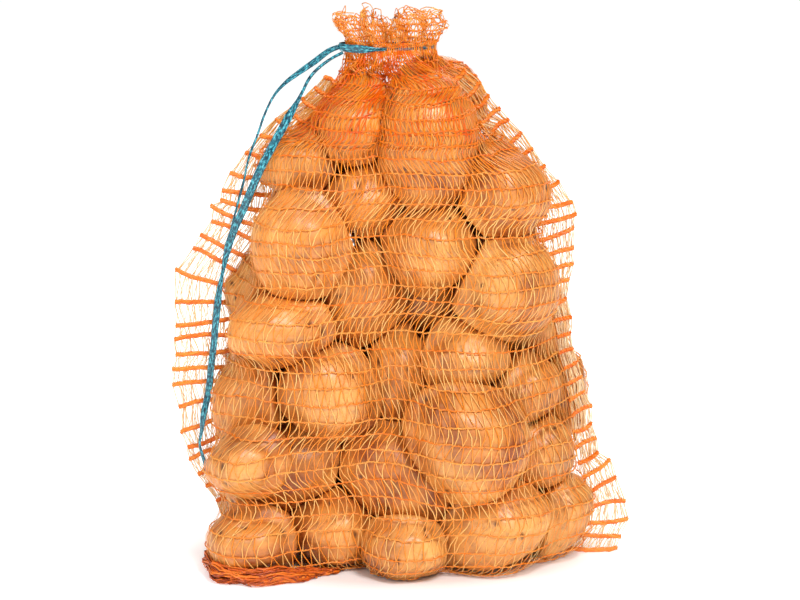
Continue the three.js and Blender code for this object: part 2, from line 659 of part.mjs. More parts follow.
// The ruffle over the tie: a short funnel of folds, solid where it is drawn in. Up is a share of its height, out a share
// of the neck's width, fold a share of the fold depth.
const RUFFLE_SECTIONS = [
  { up: 0, out: 1.08, fold: 0.3 },
  { up: 0.3, out: 1.16, fold: 0.6 },
  { up: 0.65, out: 1.28, fold: 0.8 },
  { up: 1, out: 1.22, fold: 1 },
];
function ruffleRing(section, inward) {
  const ring = [];
  for (let k = 0; k < RUFFLE_SIDES; k++) {
    const turn = (2 * Math.PI * k) / RUFFLE_SIDES;
    const fold = section.fold * RUFFLE_FOLD * Math.cos(RUFFLE_FOLDS * turn + 1.2 * Math.sin(2 * turn));
    const across = Math.cos(turn);
    const out = section.out * neckReach(point(across, Math.sin(turn), 0)) + fold - inward;
    const dip = RUFFLE_DIP * section.up * Math.exp(-((across / RUFFLE_DIP_WIDTH) ** 2));
    const lean = NECK_OFFSET + RUFFLE_LEAN * section.up;
    const height = ruffleFoot + section.up * RUFFLE_HEIGHT - dip;
    ring.push(point(lean + out * across, out * Math.sin(turn), height));
  }
  return ring;
}
const ruffleOutside = RUFFLE_SECTIONS.map((section) => ruffleRing(section, 0));
const ruffleInside = RUFFLE_SECTIONS.slice(1).reverse().map((section) => ruffleRing(section, RUFFLE_WALL));
addPiece("neck_ruffle", ringSolid([...ruffleOutside, ...ruffleInside]), NET_ORANGE);

// The tape's loop round the neck, under the ruffle.
const loopFoot = (neckFoot + neckHeight - TAPE_WIDTH) / 2;
const loopRings = [];
for (let k = 0; k < LOOP_SIDES; k++) {
  const turn = (2 * Math.PI * k) / LOOP_SIDES;
  const spoke = point(Math.cos(turn), Math.sin(turn), 0);
  const inner = neckReach(spoke) + GATHER_DEPTH + CONTACT_GAP;
  const corner = (out, up) => point(NECK_OFFSET, 0, up).addScaledVector(spoke, inner + out);
  loopRings.push([
    corner(0, loopFoot),
    corner(0, loopFoot + TAPE_WIDTH),
    corner(TAPE_WALL, loopFoot + TAPE_WIDTH),
    corner(TAPE_WALL, loopFoot),
  ]);
}
addPiece("drawstring_loop", ringSolid(loopRings, true), TAPE_TEAL);

// The two ends of the tape leave the loop at its left, arch out over the shoulder and hang down beside the left seam. The
// short end lies behind the long one.
const SHORT_END = [
  [-41.7, -2, 365.3], [-49, -2.5, 362.3], [-59, -4, 355], [-69.5, -6, 348], [-79, -7.5, 341], [-87, -8, 331.5],
  [-93, -8, 319.5], [-98.5, -8, 304], [-104.5, -8, 287.5], [-108, -8, 272.5], [-112.5, -8.3, 256], [-117, -8.5, 239],
  [-121, -8.5, 223],
];
const LONG_END = [
  [-38.9, -8.5, 362.5], [-47, -9, 358.5], [-55, -11, 352.5], [-62, -14, 345], [-67, -17, 336], [-72.5, -21, 326],
  [-79, -25, 314.5], [-86.5, -28.5, 301.5], [-94, -30.5, 287.5], [-101, -28, 272], [-107.5, -22, 256], [-115, -16, 239],
  [-120.5, -12, 222], [-125, -12, 200.5], [-127.3, -12, 184.5], [-129, -12, 170], [-130.5, -12, 156], [-132.5, -12, 141],
  [-134.5, -12.5, 123.5], [-138.3, -14, 106.5], [-140, -13.5, 95.5], [-141.5, -13.5, 86.5], [-140, -13.5, 78],
  [-137.5, -13.5, 70], [-136.2, -13.5, 64],
];
function tapeGeometry(route) {
  const path = new THREE.CatmullRomCurve3(route.map((at) => point(...at)));
  const [halfWall, halfWidth, corner] = [TAPE_WALL / 2, TAPE_WIDTH / 2, TAPE_WALL / 4];
  const section = new THREE.Shape();
  section.moveTo(-halfWall, corner - halfWidth).lineTo(corner - halfWall, -halfWidth);
  section.lineTo(halfWall - corner, -halfWidth).lineTo(halfWall, corner - halfWidth);
  section.lineTo(halfWall, halfWidth - corner).lineTo(halfWall - corner, halfWidth);
  section.lineTo(corner - halfWall, halfWidth).lineTo(-halfWall, halfWidth - corner).closePath();
  const steps = Math.round(path.getLength() / (2 * TAPE_WIDTH));
  return new THREE.ExtrudeGeometry(section, { steps, extrudePath: path });
}
addPiece("drawstring_short_end", tapeGeometry(SHORT_END), TAPE_TEAL);
addPiece("drawstring_long_end", tapeGeometry(LONG_END), TAPE_TEAL);

export default bag;
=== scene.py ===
# A knitted net bag full of potatoes, its neck drawn shut with a flat film tape. Metres, +Z up, the front is -Y.
import math

import bmesh
import bpy
import numpy as np
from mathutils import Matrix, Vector, noise
from mathutils.bvhtree import BVHTree


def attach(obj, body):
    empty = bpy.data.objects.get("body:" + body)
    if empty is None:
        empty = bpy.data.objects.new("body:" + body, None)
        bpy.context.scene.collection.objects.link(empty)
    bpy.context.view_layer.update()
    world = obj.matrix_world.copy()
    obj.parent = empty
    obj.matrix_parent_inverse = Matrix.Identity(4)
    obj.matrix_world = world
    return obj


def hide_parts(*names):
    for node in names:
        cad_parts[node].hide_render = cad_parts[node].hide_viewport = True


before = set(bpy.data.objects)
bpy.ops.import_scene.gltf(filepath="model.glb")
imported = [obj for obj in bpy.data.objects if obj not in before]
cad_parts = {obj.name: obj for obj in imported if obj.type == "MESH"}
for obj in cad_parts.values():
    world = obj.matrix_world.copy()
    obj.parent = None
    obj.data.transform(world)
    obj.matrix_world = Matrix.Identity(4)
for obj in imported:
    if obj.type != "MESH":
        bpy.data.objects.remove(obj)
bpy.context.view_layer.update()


# The studio: a pale floor that runs out of sight, white all round, and one large soft lamp over the camera's right
# shoulder with a weaker one on the left. The camera stands as the photographer did, slightly above the bag.
AIM = Vector((0, 0, 0.1865))
CAMERA_DISTANCE = 1.8
CAMERA_ELEVATION = math.radians(14)
FIELD_WIDTH = 0.56  # what the frame takes in across the bag
LAMPS = (  # name, place, size, watts
    ("lamp_right", (0.45, -1.15, 1.55), 0.5, 27),
    ("lamp_left", (-1.2, -1.0, 0.9), 0.7, 6),
    ("lamp_behind", (0.2, 1.3, 1.2), 0.9, 12),
)
ROOM_LIGHT, ROOM_SEEN = 0.4, 1.05  # the white room's strength as a light, and straight in view
FLOOR_HALF = 6
FLOOR_SHADE = (7.6, 12.5, 0.0)  # one over the half axes of the ellipse of floor, round the bag, that doesn't glow
FLOOR_GLOW = 0.62

bpy.context.scene.view_settings.view_transform = "Standard"

camera_data = bpy.data.cameras.new("camera")
camera_data.lens = camera_data.sensor_width * CAMERA_DISTANCE / FIELD_WIDTH
camera = bpy.data.objects.new("camera", camera_data)
sight = Vector((0, -math.cos(CAMERA_ELEVATION), math.sin(CAMERA_ELEVATION)))
camera.location = AIM + CAMERA_DISTANCE * sight
camera.rotation_euler = (math.pi / 2 - CAMERA_ELEVATION, 0, 0)
bpy.context.scene.collection.objects.link(camera)
bpy.context.scene.camera = camera


def add_node(tree, kind, inputs=None, **settings):
    """A new node, with each of its inputs linked to a socket or set to a value."""
    node = tree.nodes.new(kind)
    for key, value in settings.items():
        setattr(node, key, value)
    for key, value in (inputs or {}).items():
        if isinstance(value, bpy.types.NodeSocket):
            tree.links.new(value, node.inputs[key])
        else:
            node.inputs[key].default_value = value
    return node


def shader_nodes(name, finish):
    """A new material, its tree and its shader, with the finish set on the shader's own sockets."""
    material = bpy.data.materials.new(name)
    material.use_nodes = True
    shader = material.node_tree.nodes["Principled BSDF"]
    for socket, value in finish.items():
        shader.inputs[socket].default_value = value
    return material, material.node_tree, shader


for lamp_name, place, size, watts in LAMPS:
    light = bpy.data.lights.new(lamp_name, "AREA")
    light.size = size
    light.energy = watts
    lamp = bpy.data.objects.new(lamp_name, light)
    lamp.location = place
    lamp.rotation_euler = (AIM - Vector(place)).to_track_quat("-Z", "Y").to_euler()
    bpy.context.scene.collection.objects.link(lamp)

world = bpy.data.worlds.new("white_room")
world.use_nodes = True
room = world.node_tree.nodes["Background"]
room.inputs["Color"].default_value = (1, 1, 1, 1)
seen_straight = add_node(world.node_tree, "ShaderNodeLightPath").outputs["Is Camera Ray"]
room_range = {"Value": seen_straight, "To Min": ROOM_LIGHT, "To Max": ROOM_SEEN}
room_light = add_node(world.node_tree, "ShaderNodeMapRange", room_range)
world.node_tree.links.new(room_light.outputs["Result"], room.inputs["Strength"])
bpy.context.scene.world = world

floor_paint, floor_tree, floor_shader = shader_nodes(
    "floor_paint", {"Base Color": (0.9, 0.9, 0.9, 1), "Roughness": 0.8, "Emission Color": (1, 1, 1, 1)}
)
floor_place = add_node(floor_tree, "ShaderNodeTexCoord").outputs["Object"]
floor_away = add_node(floor_tree, "ShaderNodeMapping", {"Vector": floor_place, "Scale": FLOOR_SHADE}).outputs[0]
floor_far = add_node(floor_tree, "ShaderNodeVectorMath", {"Vector": floor_away}, operation="LENGTH").outputs["Value"]
floor_range = {"Value": floor_far, "From Min": 0.8, "From Max": 1.35, "To Min": 0.0, "To Max": FLOOR_GLOW}
floor_glow = add_node(floor_tree, "ShaderNodeMapRange", floor_range)
floor_tree.links.new(floor_glow.outputs["Result"], floor_shader.inputs["Emission Strength"])

floor_corners = [(x * FLOOR_HALF, y * FLOOR_HALF, 0) for x, y in ((-1, -1), (1, -1), (1, 1), (-1, 1))]
floor_sheet = bpy.data.meshes.new("floor")
floor_sheet.from_pydata(floor_corners, [], [(0, 1, 2, 3)])
floor_sheet.materials.append(floor_paint)
floor = bpy.data.objects.new("floor", floor_sheet)
bpy.context.scene.collection.objects.link(floor)


# The potatoes: washed yellow ware potatoes, each an egg-shaped tuber with dents, eyes, freckles and a matt skin. Each
# takes its size, place and turn from its own solid. Inside the heap it swells towards its neighbours as far as they
# leave it room, and the dents and eyes are pressed into a fine round mesh.
BAG_WIDTH, BAG_DEPTH = 0.268, 0.150
POTATO_PLUMP = 1.01  # the round skin's size to its faceted solid's
POTATO_GAP = 0.0004
# How far a front and a back potato swell, and from where to where that fades as the skin turns to face out of the bag:
# -1 faces the bag's middle, and 1 faces straight out.
FRONT_SWELL, FRONT_FADE = 0.014, (-0.5, 0.3)
BACK_SWELL, BACK_FADE = 0.021, (-0.2, 0.75)
DENT_DEPTH, DENT_SCALE = 0.003, 1.3
RIPPLE_DEPTH, RIPPLE_SCALE = 0.0006, 4.5
FEWEST_EYES, MOST_EYES = 6, 10
EYE_LENGTH, EYE_WIDTH, EYE_DEPTH = 0.0048, 0.0025, 0.0015
BROW_HEIGHT = 0.0005
REST_HEIGHT = 0.0016  # of the lowest potatoes over the floor


def round_ball(subdivisions):
    """The points and the triangles of a ball of radius 1."""
    ball = bmesh.new()
    bmesh.ops.create_icosphere(ball, subdivisions=subdivisions, radius=1)
    spots = np.array([vert.co[:] for vert in ball.verts])
    faces = np.array([[vert.index for vert in face.verts] for face in ball.faces])
    ball.free()
    return spots, faces


def smoothstep(value, low, high):
    share = np.clip((value - low) / (high - low), 0, 1)
    return share * share * (3 - 2 * share)


def new_piece(name, spots, faces, material):
    mesh = bpy.data.meshes.new(name)
    mesh.from_pydata([tuple(spot) for spot in spots], [], faces)
    mesh.materials.append(material)
    mesh.shade_smooth()
    piece = bpy.data.objects.new(name, mesh)
    bpy.context.scene.collection.objects.link(piece)
    return piece


def mark(mesh, label, values):
    """Gives each point of a mesh a number, for its material or a node tree to read."""
    mesh.attributes.new(label, "FLOAT", "POINT").data.foreach_set("value", np.ravel(values))


def marked(tree, label):
    """The number that mark gave, inside a material."""
    return add_node(tree, "ShaderNodeAttribute", attribute_name=label).outputs["Fac"]


def clouds(tree, place, scale, detail, roughness=0.5, distortion=0.0):
    """Soft noise from 0 to 1."""
    given = {"Vector": place, "Scale": scale, "Detail": detail, "Roughness": roughness, "Distortion": distortion}
    return add_node(tree, "ShaderNodeTexNoise", given).outputs["Fac"]


def colour_ramp(tree, value, *stops):
    ramp = add_node(tree, "ShaderNodeValToRGB", {"Fac": value})
    for k, (place, colour) in enumerate(stops):
        element = ramp.color_ramp.elements[k] if k < 2 else ramp.color_ramp.elements.new(place)
        element.position = place
        element.color = (*colour, 1)
    return ramp.outputs["Color"]


def mask(tree, value, low, high, start, end):
    """Grey that goes from start to end while the value goes from low to high."""
    return colour_ramp(tree, value, (low, (start,) * 3), (high, (end,) * 3))


def colour_mix(tree, share, one, other, blend="MIX"):
    mix = tree.nodes.new("ShaderNodeMix")
    mix.data_type = "RGBA"
    mix.blend_type = blend
    for socket, value in ((mix.inputs[0], share), (mix.inputs[6], one), (mix.inputs[7], other)):
        if isinstance(value, bpy.types.NodeSocket):
            tree.links.new(value, socket)
        else:
            socket.default_value = value if isinstance(value, (int, float)) else (*value, 1)
    return mix.outputs[2]


def bumps(tree, height, strength, distance, under=None):
    node = add_node(tree, "ShaderNodeBump", {"Height": height, "Strength": strength, "Distance": distance})
    if under is not None:
        tree.links.new(under, node.inputs["Normal"])
    return node.outputs["Normal"]


potato_skin, skin, skin_shader = shader_nodes(
    "potato_skin",
    {
        "Roughness": 0.4,
        "Specular IOR Level": 0.7,
        "Subsurface Weight": 0.12,
        "Subsurface Radius": (0.004, 0.002, 0.001),
        "Subsurface Scale": 1.0,
    },
)
skin_place = add_node(skin, "ShaderNodeTexCoord").outputs["Object"]
skin_colour = colour_ramp(
    skin,
    clouds(skin, skin_place, 38.0, 6.0, 0.6),
    (0.34, (0.30, 0.075, 0.010)),
    (0.68, (0.80, 0.40, 0.095)),
    (0.5, (0.60, 0.225, 0.038)),
)
scurf = clouds(skin, skin_place, 110.0, 4.0, 0.7)
pores = add_node(skin, "ShaderNodeTexVoronoi", {"Vector": skin_place, "Scale": 420.0, "Randomness": 1.0})
freckles = mask(skin, pores.outputs["Distance"], 0.07, 0.2, 1, 0)
freckle_share = add_node(skin, "ShaderNodeMath", {0: freckles, 1: 0.55}, operation="MULTIPLY").outputs[0]
for share, colour, blend in (
    (mask(skin, clouds(skin, skin_place, 15.0, 3.0), 0.44, 0.66, 0, 0.75), (0.92, 0.52, 0.15), "MIX"),
    # each potato's own number: a random tone, plus painted shade that darkens and browns the potatoes towards the left
    (marked(skin, "random_tone_and_left_shade"), (1.0, 0.78, 0.55), "MULTIPLY"),
    (mask(skin, scurf, 0.52, 0.66, 0, 0.6), (0.42, 0.19, 0.065), "MIX"),
    (freckle_share, (0.30, 0.135, 0.05), "MIX"),
    (mask(skin, marked(skin, "eye"), 0.2, 0.8, 0, 0.92), (0.13, 0.045, 0.014), "MIX"),
):
    skin_colour = colour_mix(skin, share, skin_colour, colour, blend)
skin.links.new(skin_colour, skin_shader.inputs["Base Color"])
skin_normal = bumps(skin, scurf, 0.35, 0.0012)
skin_normal = bumps(skin, clouds(skin, skin_place, 900.0, 3.0), 0.25, 0.0003, skin_normal)
skin_normal = bumps(skin, freckles, -0.3, 0.0003, skin_normal)
skin.links.new(skin_normal, skin_shader.inputs["Normal"])

chance = np.random.default_rng(11)
tubers = []
for node_name in sorted(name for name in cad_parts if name.startswith("potato_")):
    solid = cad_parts[node_name].data
    corners = np.unique(np.round([vert.co[:] for vert in solid.vertices], 6), axis=0)
    middle = corners.mean(axis=0)
    spread, axes = np.linalg.eigh((corners - middle).T @ (corners - middle) / len(corners))
    if np.linalg.det(axes) < 0:
        axes[:, 0] *= -1
    half = np.sqrt(3 * spread)
    local = (corners - middle) @ axes / half
    girth = (local**2).sum(axis=1, keepdims=True) - local**2
    taper = 3.75 * (local * girth).mean(axis=0)  # how much thicker one end of each axis is than the other
    tubers.append((node_name, middle, half * POTATO_PLUMP, axes, taper))


def egg_shape(ball, middle, half, axes, taper):
    """A round ball's points moved onto a tuber's plain form."""
    spots = ball.copy()
    for axis in range(3):
        others = [k for k in range(3) if k != axis]
        spots[:, others] *= 1 + taper[axis] * ball[:, axis : axis + 1]
    return spots * half @ axes.T + middle


round_spots, round_faces = round_ball(5)
rough_spots, rough_faces = round_ball(3)
rough_forms = [egg_shape(rough_spots, *tuber[1:]) for tuber in tubers]
heap_spots, heap_faces = [], []
for own, (node_name, middle, half, axes, taper) in enumerate(tubers):
    near = [
        rough_forms[k]
        for k, other in enumerate(tubers)
        if k != own and np.linalg.norm(other[1] - middle) < other[2].max() + half.max() + 2 * BACK_SWELL
    ]
    near_faces = np.concatenate([rough_faces + k * len(rough_spots) for k in range(len(near))]).tolist()
    neighbours = BVHTree.FromPolygons(np.concatenate(near).tolist(), near_faces)
    spots = egg_shape(round_spots, middle, half, axes, taper)
    outward = (round_spots / half) @ axes.T
    outward /= np.linalg.norm(outward, axis=1, keepdims=True)
    reach_out = 2 * BACK_SWELL + POTATO_GAP
    found = [neighbours.find_nearest(Vector(spot), reach_out)[3] for spot in spots]
    room = np.array([reach_out if gap is None else gap for gap in found]) / 2 - POTATO_GAP / 2
    bag_side = spots * (1 / (BAG_WIDTH / 2) ** 2, 1 / (BAG_DEPTH / 2) ** 2, 0)
    bag_side /= np.linalg.norm(bag_side, axis=1, keepdims=True)
    farthest, fade = (BACK_SWELL, BACK_FADE) if middle[1] > 0 else (FRONT_SWELL, FRONT_FADE)
    swell = farthest * (1 - smoothstep((outward * bag_side).sum(axis=1), *fade))
    shift = Vector(chance.uniform(-50, 50, 3))
    lift = np.zeros(len(spots))
    for depth, scale in ((DENT_DEPTH, DENT_SCALE), (RIPPLE_DEPTH, RIPPLE_SCALE)):
        lift += [depth * noise.noise(Vector(spot) * scale + shift) for spot in round_spots]
    eye = np.zeros(len(spots))
    for _ in range(int(chance.integers(FEWEST_EYES, MOST_EYES + 1))):
        seat = int(chance.integers(len(spots)))
        away = spots - spots[seat]
        turn = chance.uniform(0, 2 * math.pi)
        side = np.cross(outward[seat], (math.cos(turn), math.sin(turn), 0.3))
        side /= np.linalg.norm(side)
        rise = np.cross(outward[seat], side)
        size = chance.uniform(0.7, 1.25)
        facing = outward @ outward[seat] > 0.3
        along, across = away @ side / (EYE_LENGTH * size), away @ rise / (EYE_WIDTH * size)
        hollow = np.exp(-(along**2) - across**2) * facing
        brow = np.exp(-(along**2) * 0.5 - (across - 1.7 - 0.35 * along**2) ** 2) * facing
        lift += BROW_HEIGHT * size * brow - EYE_DEPTH * size * hollow
        eye = np.maximum(eye, np.exp(-2.5 * (along**2) - 2.5 * across**2) * facing)
    spots = spots + outward * np.minimum(lift + swell, room)[:, None]
    spots[:, 2] = np.maximum(spots[:, 2], REST_HEIGHT)
    heap_faces.append(round_faces + len(heap_spots) * len(spots))
    heap_spots.append(spots)
    potato = new_piece(node_name.replace("potato", "tuber"), spots, round_faces.tolist(), potato_skin)
    painted_left_shade = 0.5 * np.clip(0.5 - middle[0] / 0.2, 0, 1)  # painted shade: potatoes towards the left are darker and browner, away from the main lamp on the right
    mark(potato.data, "random_tone_and_left_shade", np.full(len(spots), chance.uniform(0, 0.5) + painted_left_shade))
    mark(potato.data, "eye", eye)
    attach(potato, "root")
    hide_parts(node_name)

heap = BVHTree.FromPolygons(np.concatenate(heap_spots).tolist(), np.concatenate(heap_faces).tolist())


# The net's shape: the knitted cloth pulled up tight over the potatoes and drawn in at the neck. It is worked out on a
# fine grid of wales round the bag and levels up it: each point is drawn to the line between its neighbours, and sags a
# little in the hollows, but never goes into a potato.
WALES = 228
LEVEL_STEP = 0.003
NECK_FOOT, NECK_TOP = 0.3607, 0.3696
NECK_WIDTH, NECK_DEPTH, NECK_OFFSET = 0.058, 0.026, -0.006
NET_CLEARANCE = 0.0009
NET_SAG = 0.00005
TIGHTEN_ROUNDS = 1400
FOOT_HEIGHT, FOOT_ROUNDING = 0.030, 0.028
SOLE_HEIGHT, SOLE_LEVELS = 0.0011, 8
SEAM_BOW = 0.012
GATHERS, GATHER_FOOT, GATHER_OUT, GATHER_IN = 13, 0.262, 0.0042, 0.013
GATHER_DEEPEST, GATHER_SHALLOWER = 0.343, 0.352  # between these heights the folds go in furthest
NARROWEST = 0.012
EVEN_SHARE = 0.8
COLLAR = ((1 / 3, 0.94), (2 / 3, 0.94), (1, 1.0))  # rise through the tape's loop, and the neck's width there

fine_turns = np.linspace(0, 2 * math.pi, 7201)
steps = np.hypot(BAG_WIDTH * np.sin(fine_turns), BAG_DEPTH * np.cos(fine_turns))
travelled = np.concatenate([[0], np.cumsum((steps[1:] + steps[:-1]) / 2)])
wale_turns = np.interp(np.arange(WALES) / WALES * travelled[-1], travelled, fine_turns)
spokes = np.stack([BAG_WIDTH * np.cos(wale_turns), BAG_DEPTH * np.sin(wale_turns)], axis=1)
spokes /= np.linalg.norm(spokes, axis=1, keepdims=True)
heights = np.append(np.arange(0, NECK_FOOT - LEVEL_STEP / 2, LEVEL_STEP), NECK_FOOT)

potato_reach = np.full((len(heights), WALES), -1.0)
for j, height in enumerate(heights):
    for k, spoke in enumerate(spokes):
        start = Vector((spoke[0] * 0.3, spoke[1] * 0.3, height))
        hit = heap.ray_cast(start, Vector((-spoke[0], -spoke[1], 0)), 0.3)[0]
        if hit:
            potato_reach[j, k] = math.hypot(hit.x, hit.y) + NET_CLEARANCE
neck_reach = 1 / np.hypot(spokes[:, 0] / (NECK_WIDTH / 2), spokes[:, 1] / (NECK_DEPTH / 2))


def cross(one, other):
    return one[..., 0] * other[..., 1] - one[..., 1] * other[..., 0]


reach = np.maximum(potato_reach, neck_reach)
spoke_before, spoke_after = np.roll(spokes, 1, axis=0), np.roll(spokes, -1, axis=0)
foot = int(FOOT_HEIGHT / LEVEL_STEP) + 1
for _ in range(TIGHTEN_ROUNDS):
    before = spoke_before * np.roll(reach, 1, axis=1)[..., None]
    along = spoke_after * np.roll(reach, -1, axis=1)[..., None] - before
    beside = cross(before, along) / cross(spokes[None], along)
    between = (beside[1:-1] + (reach[:-2] + reach[2:]) / 2) / 2 - NET_SAG
    reach[1:-1] = np.maximum(potato_reach[1:-1], between)
    reach[-1] = neck_reach
    for j in range(foot):
        share = 1 - heights[j] / heights[foot]
        tucked = reach[foot] - FOOT_ROUNDING * (1 - math.sqrt(max(0, 1 - share**2)))
        reach[j] = np.maximum(potato_reach[j], tucked)

# The folds of the gathered neck, thirteen of uneven width.
gathered = smoothstep(heights, GATHER_FOOT, NECK_FOOT)[:, None]
fold_turn = GATHERS * wale_turns + 1.3 * np.sin(3 * wale_turns + 0.7) + 0.8 * np.sin(5 * wale_turns + 2)
folds = 1 - np.abs(np.sin(fold_turn / 2)) ** 0.8 * (0.85 + 0.15 * np.sin(1.3 * fold_turn + 1))
drawn = smoothstep(heights, GATHER_FOOT, GATHER_DEEPEST) * (1 - smoothstep(heights, GATHER_SHALLOWER, NECK_FOOT))
net_reach = reach - GATHER_IN * drawn[:, None] * (1 - folds[None])
net_reach = np.maximum(net_reach, np.maximum(potato_reach, NARROWEST))
net_reach = net_reach + GATHER_OUT * gathered * folds[None]
wall_grid = np.zeros((len(heights), WALES, 3))
wall_grid[..., :2] = spokes[None] * net_reach[..., None]
wall_grid[..., 0] += NECK_OFFSET * gathered
wall_grid[..., 2] = np.maximum(heights, SOLE_HEIGHT)[:, None]

# The stitches share the cloth out nearly evenly between the two side seams, at every level.
HALF = WALES // 2
for ring in wall_grid:
    closed_ring = np.concatenate([ring, ring[:1]])
    for first in (0, HALF):
        panel_ring = closed_ring[first : first + HALF + 1].copy()
        run = np.concatenate([[0], np.cumsum(np.linalg.norm(np.diff(panel_ring, axis=0), axis=1))])
        marks = EVEN_SHARE * np.linspace(0, run[-1], HALF + 1) + (1 - EVEN_SHARE) * run
        for axis in range(2):
            ring[first : first + HALF, axis] = np.interp(marks[:-1], run, panel_ring[:, axis])


def clear_of_heap(grid, gap):
    """Moves a net's points out to a gap from the nearest potato where they are closer."""
    for ring in grid:
        for spot in ring:
            place, outward, _, _ = heap.find_nearest(Vector(spot), 0.02)
            if place is not None and (Vector(spot) - place).dot(outward) < gap:
                spot[:] = place + outward * gap


clear_of_heap(wall_grid, NET_CLEARANCE)

# Inside the tape's loop the neck goes on straight up, pinched a little where the tape holds it.
collar_grid = np.repeat(wall_grid[-1:], len(COLLAR), axis=0)
for level, (rise, pinch) in enumerate(COLLAR):
    collar_grid[level, :, :2] = (wall_grid[-1, :, :2] - (NECK_OFFSET, 0)) * pinch + (NECK_OFFSET, 0)
    collar_grid[level, :, 2] = NECK_FOOT + (NECK_TOP - NECK_FOOT) * rise

# Under the bag both panels run in to the bottom seam, which bows a little to the back.
seam_line = np.zeros((WALES, 3))
sideways = (1 + np.cos(wale_turns)) / 2
seam_line[:, 0] = wall_grid[0, HALF, 0] * (1 - sideways) + wall_grid[0, 0, 0] * sideways
seam_line[:, 1] = SEAM_BOW * np.sin(wale_turns) ** 2
seam_line[:, 2] = SOLE_HEIGHT
inward = (np.arange(SOLE_LEVELS) / SOLE_LEVELS)[:, None, None]
sole_grid = seam_line[None] * (1 - inward) + wall_grid[:1] * inward
net_grid = np.concatenate([sole_grid, wall_grid, collar_grid])
LOWEST_STRAND = 0.0006


def on_net(grid, level, wale, proud=0.0):
    """Points of a knitted surface at fractional levels and wales, and the way out of it there."""
    level, wale = np.broadcast_arrays(np.clip(level, 0, len(grid) - 1.001), wale)
    j, k = np.floor(level).astype(int), np.floor(wale).astype(int)
    up, on = (level - j)[..., None], (wale - k)[..., None]
    around = grid.shape[1]
    corner = [grid[j + a, (k + b) % around] for a in (0, 1) for b in (0, 1)]
    spot = (1 - up) * ((1 - on) * corner[0] + on * corner[1]) + up * ((1 - on) * corner[2] + on * corner[3])
    wide = grid[j, (k + 2) % around] - grid[j, (k - 1) % around]
    tall = grid[np.clip(j + 2, 0, len(grid) - 1), k % around] - grid[np.clip(j - 1, 0, None), k % around]
    out = np.cross(wide, tall)
    out /= np.maximum(np.linalg.norm(out, axis=-1, keepdims=True), 1e-12)
    spot = spot + out * proud
    spot[..., 2] = np.maximum(spot[..., 2], LOWEST_STRAND)
    return spot, out


# The knitting: chains of twisted film tape run round the bag, and thin flat tapes zigzag from one chain to the next.
# Every strand is laid out as a line of points, and a node tree gives all of them their section.
ROW_PITCH = 0.0127
CHAIN_GIRTH, CHAIN_TWIST = 0.0008, 0.0004
TAPE_WIDTH, TAPE_WALL = 0.0007, 0.00014
TAPE_SLANT = 0.42  # of a wale, by which a tape's two ends lie off its middle


def strand_tree():
    """Gives lines their section. A line's points say which way is outward and how thick the strand is there."""
    tree = bpy.data.node_groups.new("strand", "GeometryNodeTree")
    interface = tree.interface
    interface.new_socket("Lines", in_out="INPUT", socket_type="NodeSocketGeometry")
    for label, default in (("Width", 0.001), ("Wall", 0.001)):
        interface.new_socket(label, in_out="INPUT", socket_type="NodeSocketFloat").default_value = default
    interface.new_socket("Sides", in_out="INPUT", socket_type="NodeSocketInt").default_value = 4
    interface.new_socket("Material", in_out="INPUT", socket_type="NodeSocketMaterial")
    interface.new_socket("Strands", in_out="OUTPUT", socket_type="NodeSocketGeometry")
    given = tree.nodes.new("NodeGroupInput").outputs
    lines = add_node(tree, "GeometryNodeMeshToCurve", {"Mesh": given["Lines"]})
    outward = add_node(tree, "GeometryNodeInputNamedAttribute", {"Name": "outward"}, data_type="FLOAT_VECTOR")
    facing = add_node(tree, "GeometryNodeSetCurveNormal", {"Curve": lines.outputs[0]}, mode="FREE")
    tree.links.new(outward.outputs["Attribute"], facing.inputs["Normal"])
    thick = add_node(tree, "GeometryNodeInputNamedAttribute", {"Name": "thick"}, data_type="FLOAT")
    sized = add_node(tree, "GeometryNodeSetCurveRadius", {"Curve": facing.outputs[0]})
    tree.links.new(thick.outputs["Attribute"], sized.inputs["Radius"])
    ring = add_node(tree, "GeometryNodeCurvePrimitiveCircle", {"Resolution": given["Sides"], "Radius": 0.5})
    size = add_node(tree, "ShaderNodeCombineXYZ", {"X": given["Wall"], "Y": given["Width"], "Z": 1.0})
    section = add_node(tree, "GeometryNodeTransform", {"Geometry": ring.outputs["Curve"], "Scale": size.outputs[0]})
    swept = {"Curve": sized.outputs[0], "Profile Curve": section.outputs[0], "Fill Caps": True}
    strands = add_node(tree, "GeometryNodeCurveToMesh", swept)
    real = add_node(tree, "GeometryNodeRealizeInstances", {"Geometry": strands.outputs[0]})
    smooth = add_node(tree, "GeometryNodeSetShadeSmooth", {"Geometry": real.outputs[0], "Shade Smooth": True})
    dressed = add_node(tree, "GeometryNodeSetMaterial", {"Geometry": smooth.outputs[0], "Material": given["Material"]})
    out = tree.nodes.new("NodeGroupOutput")
    tree.links.new(dressed.outputs[0], out.inputs[0])
    return tree


strand_maker = strand_tree()


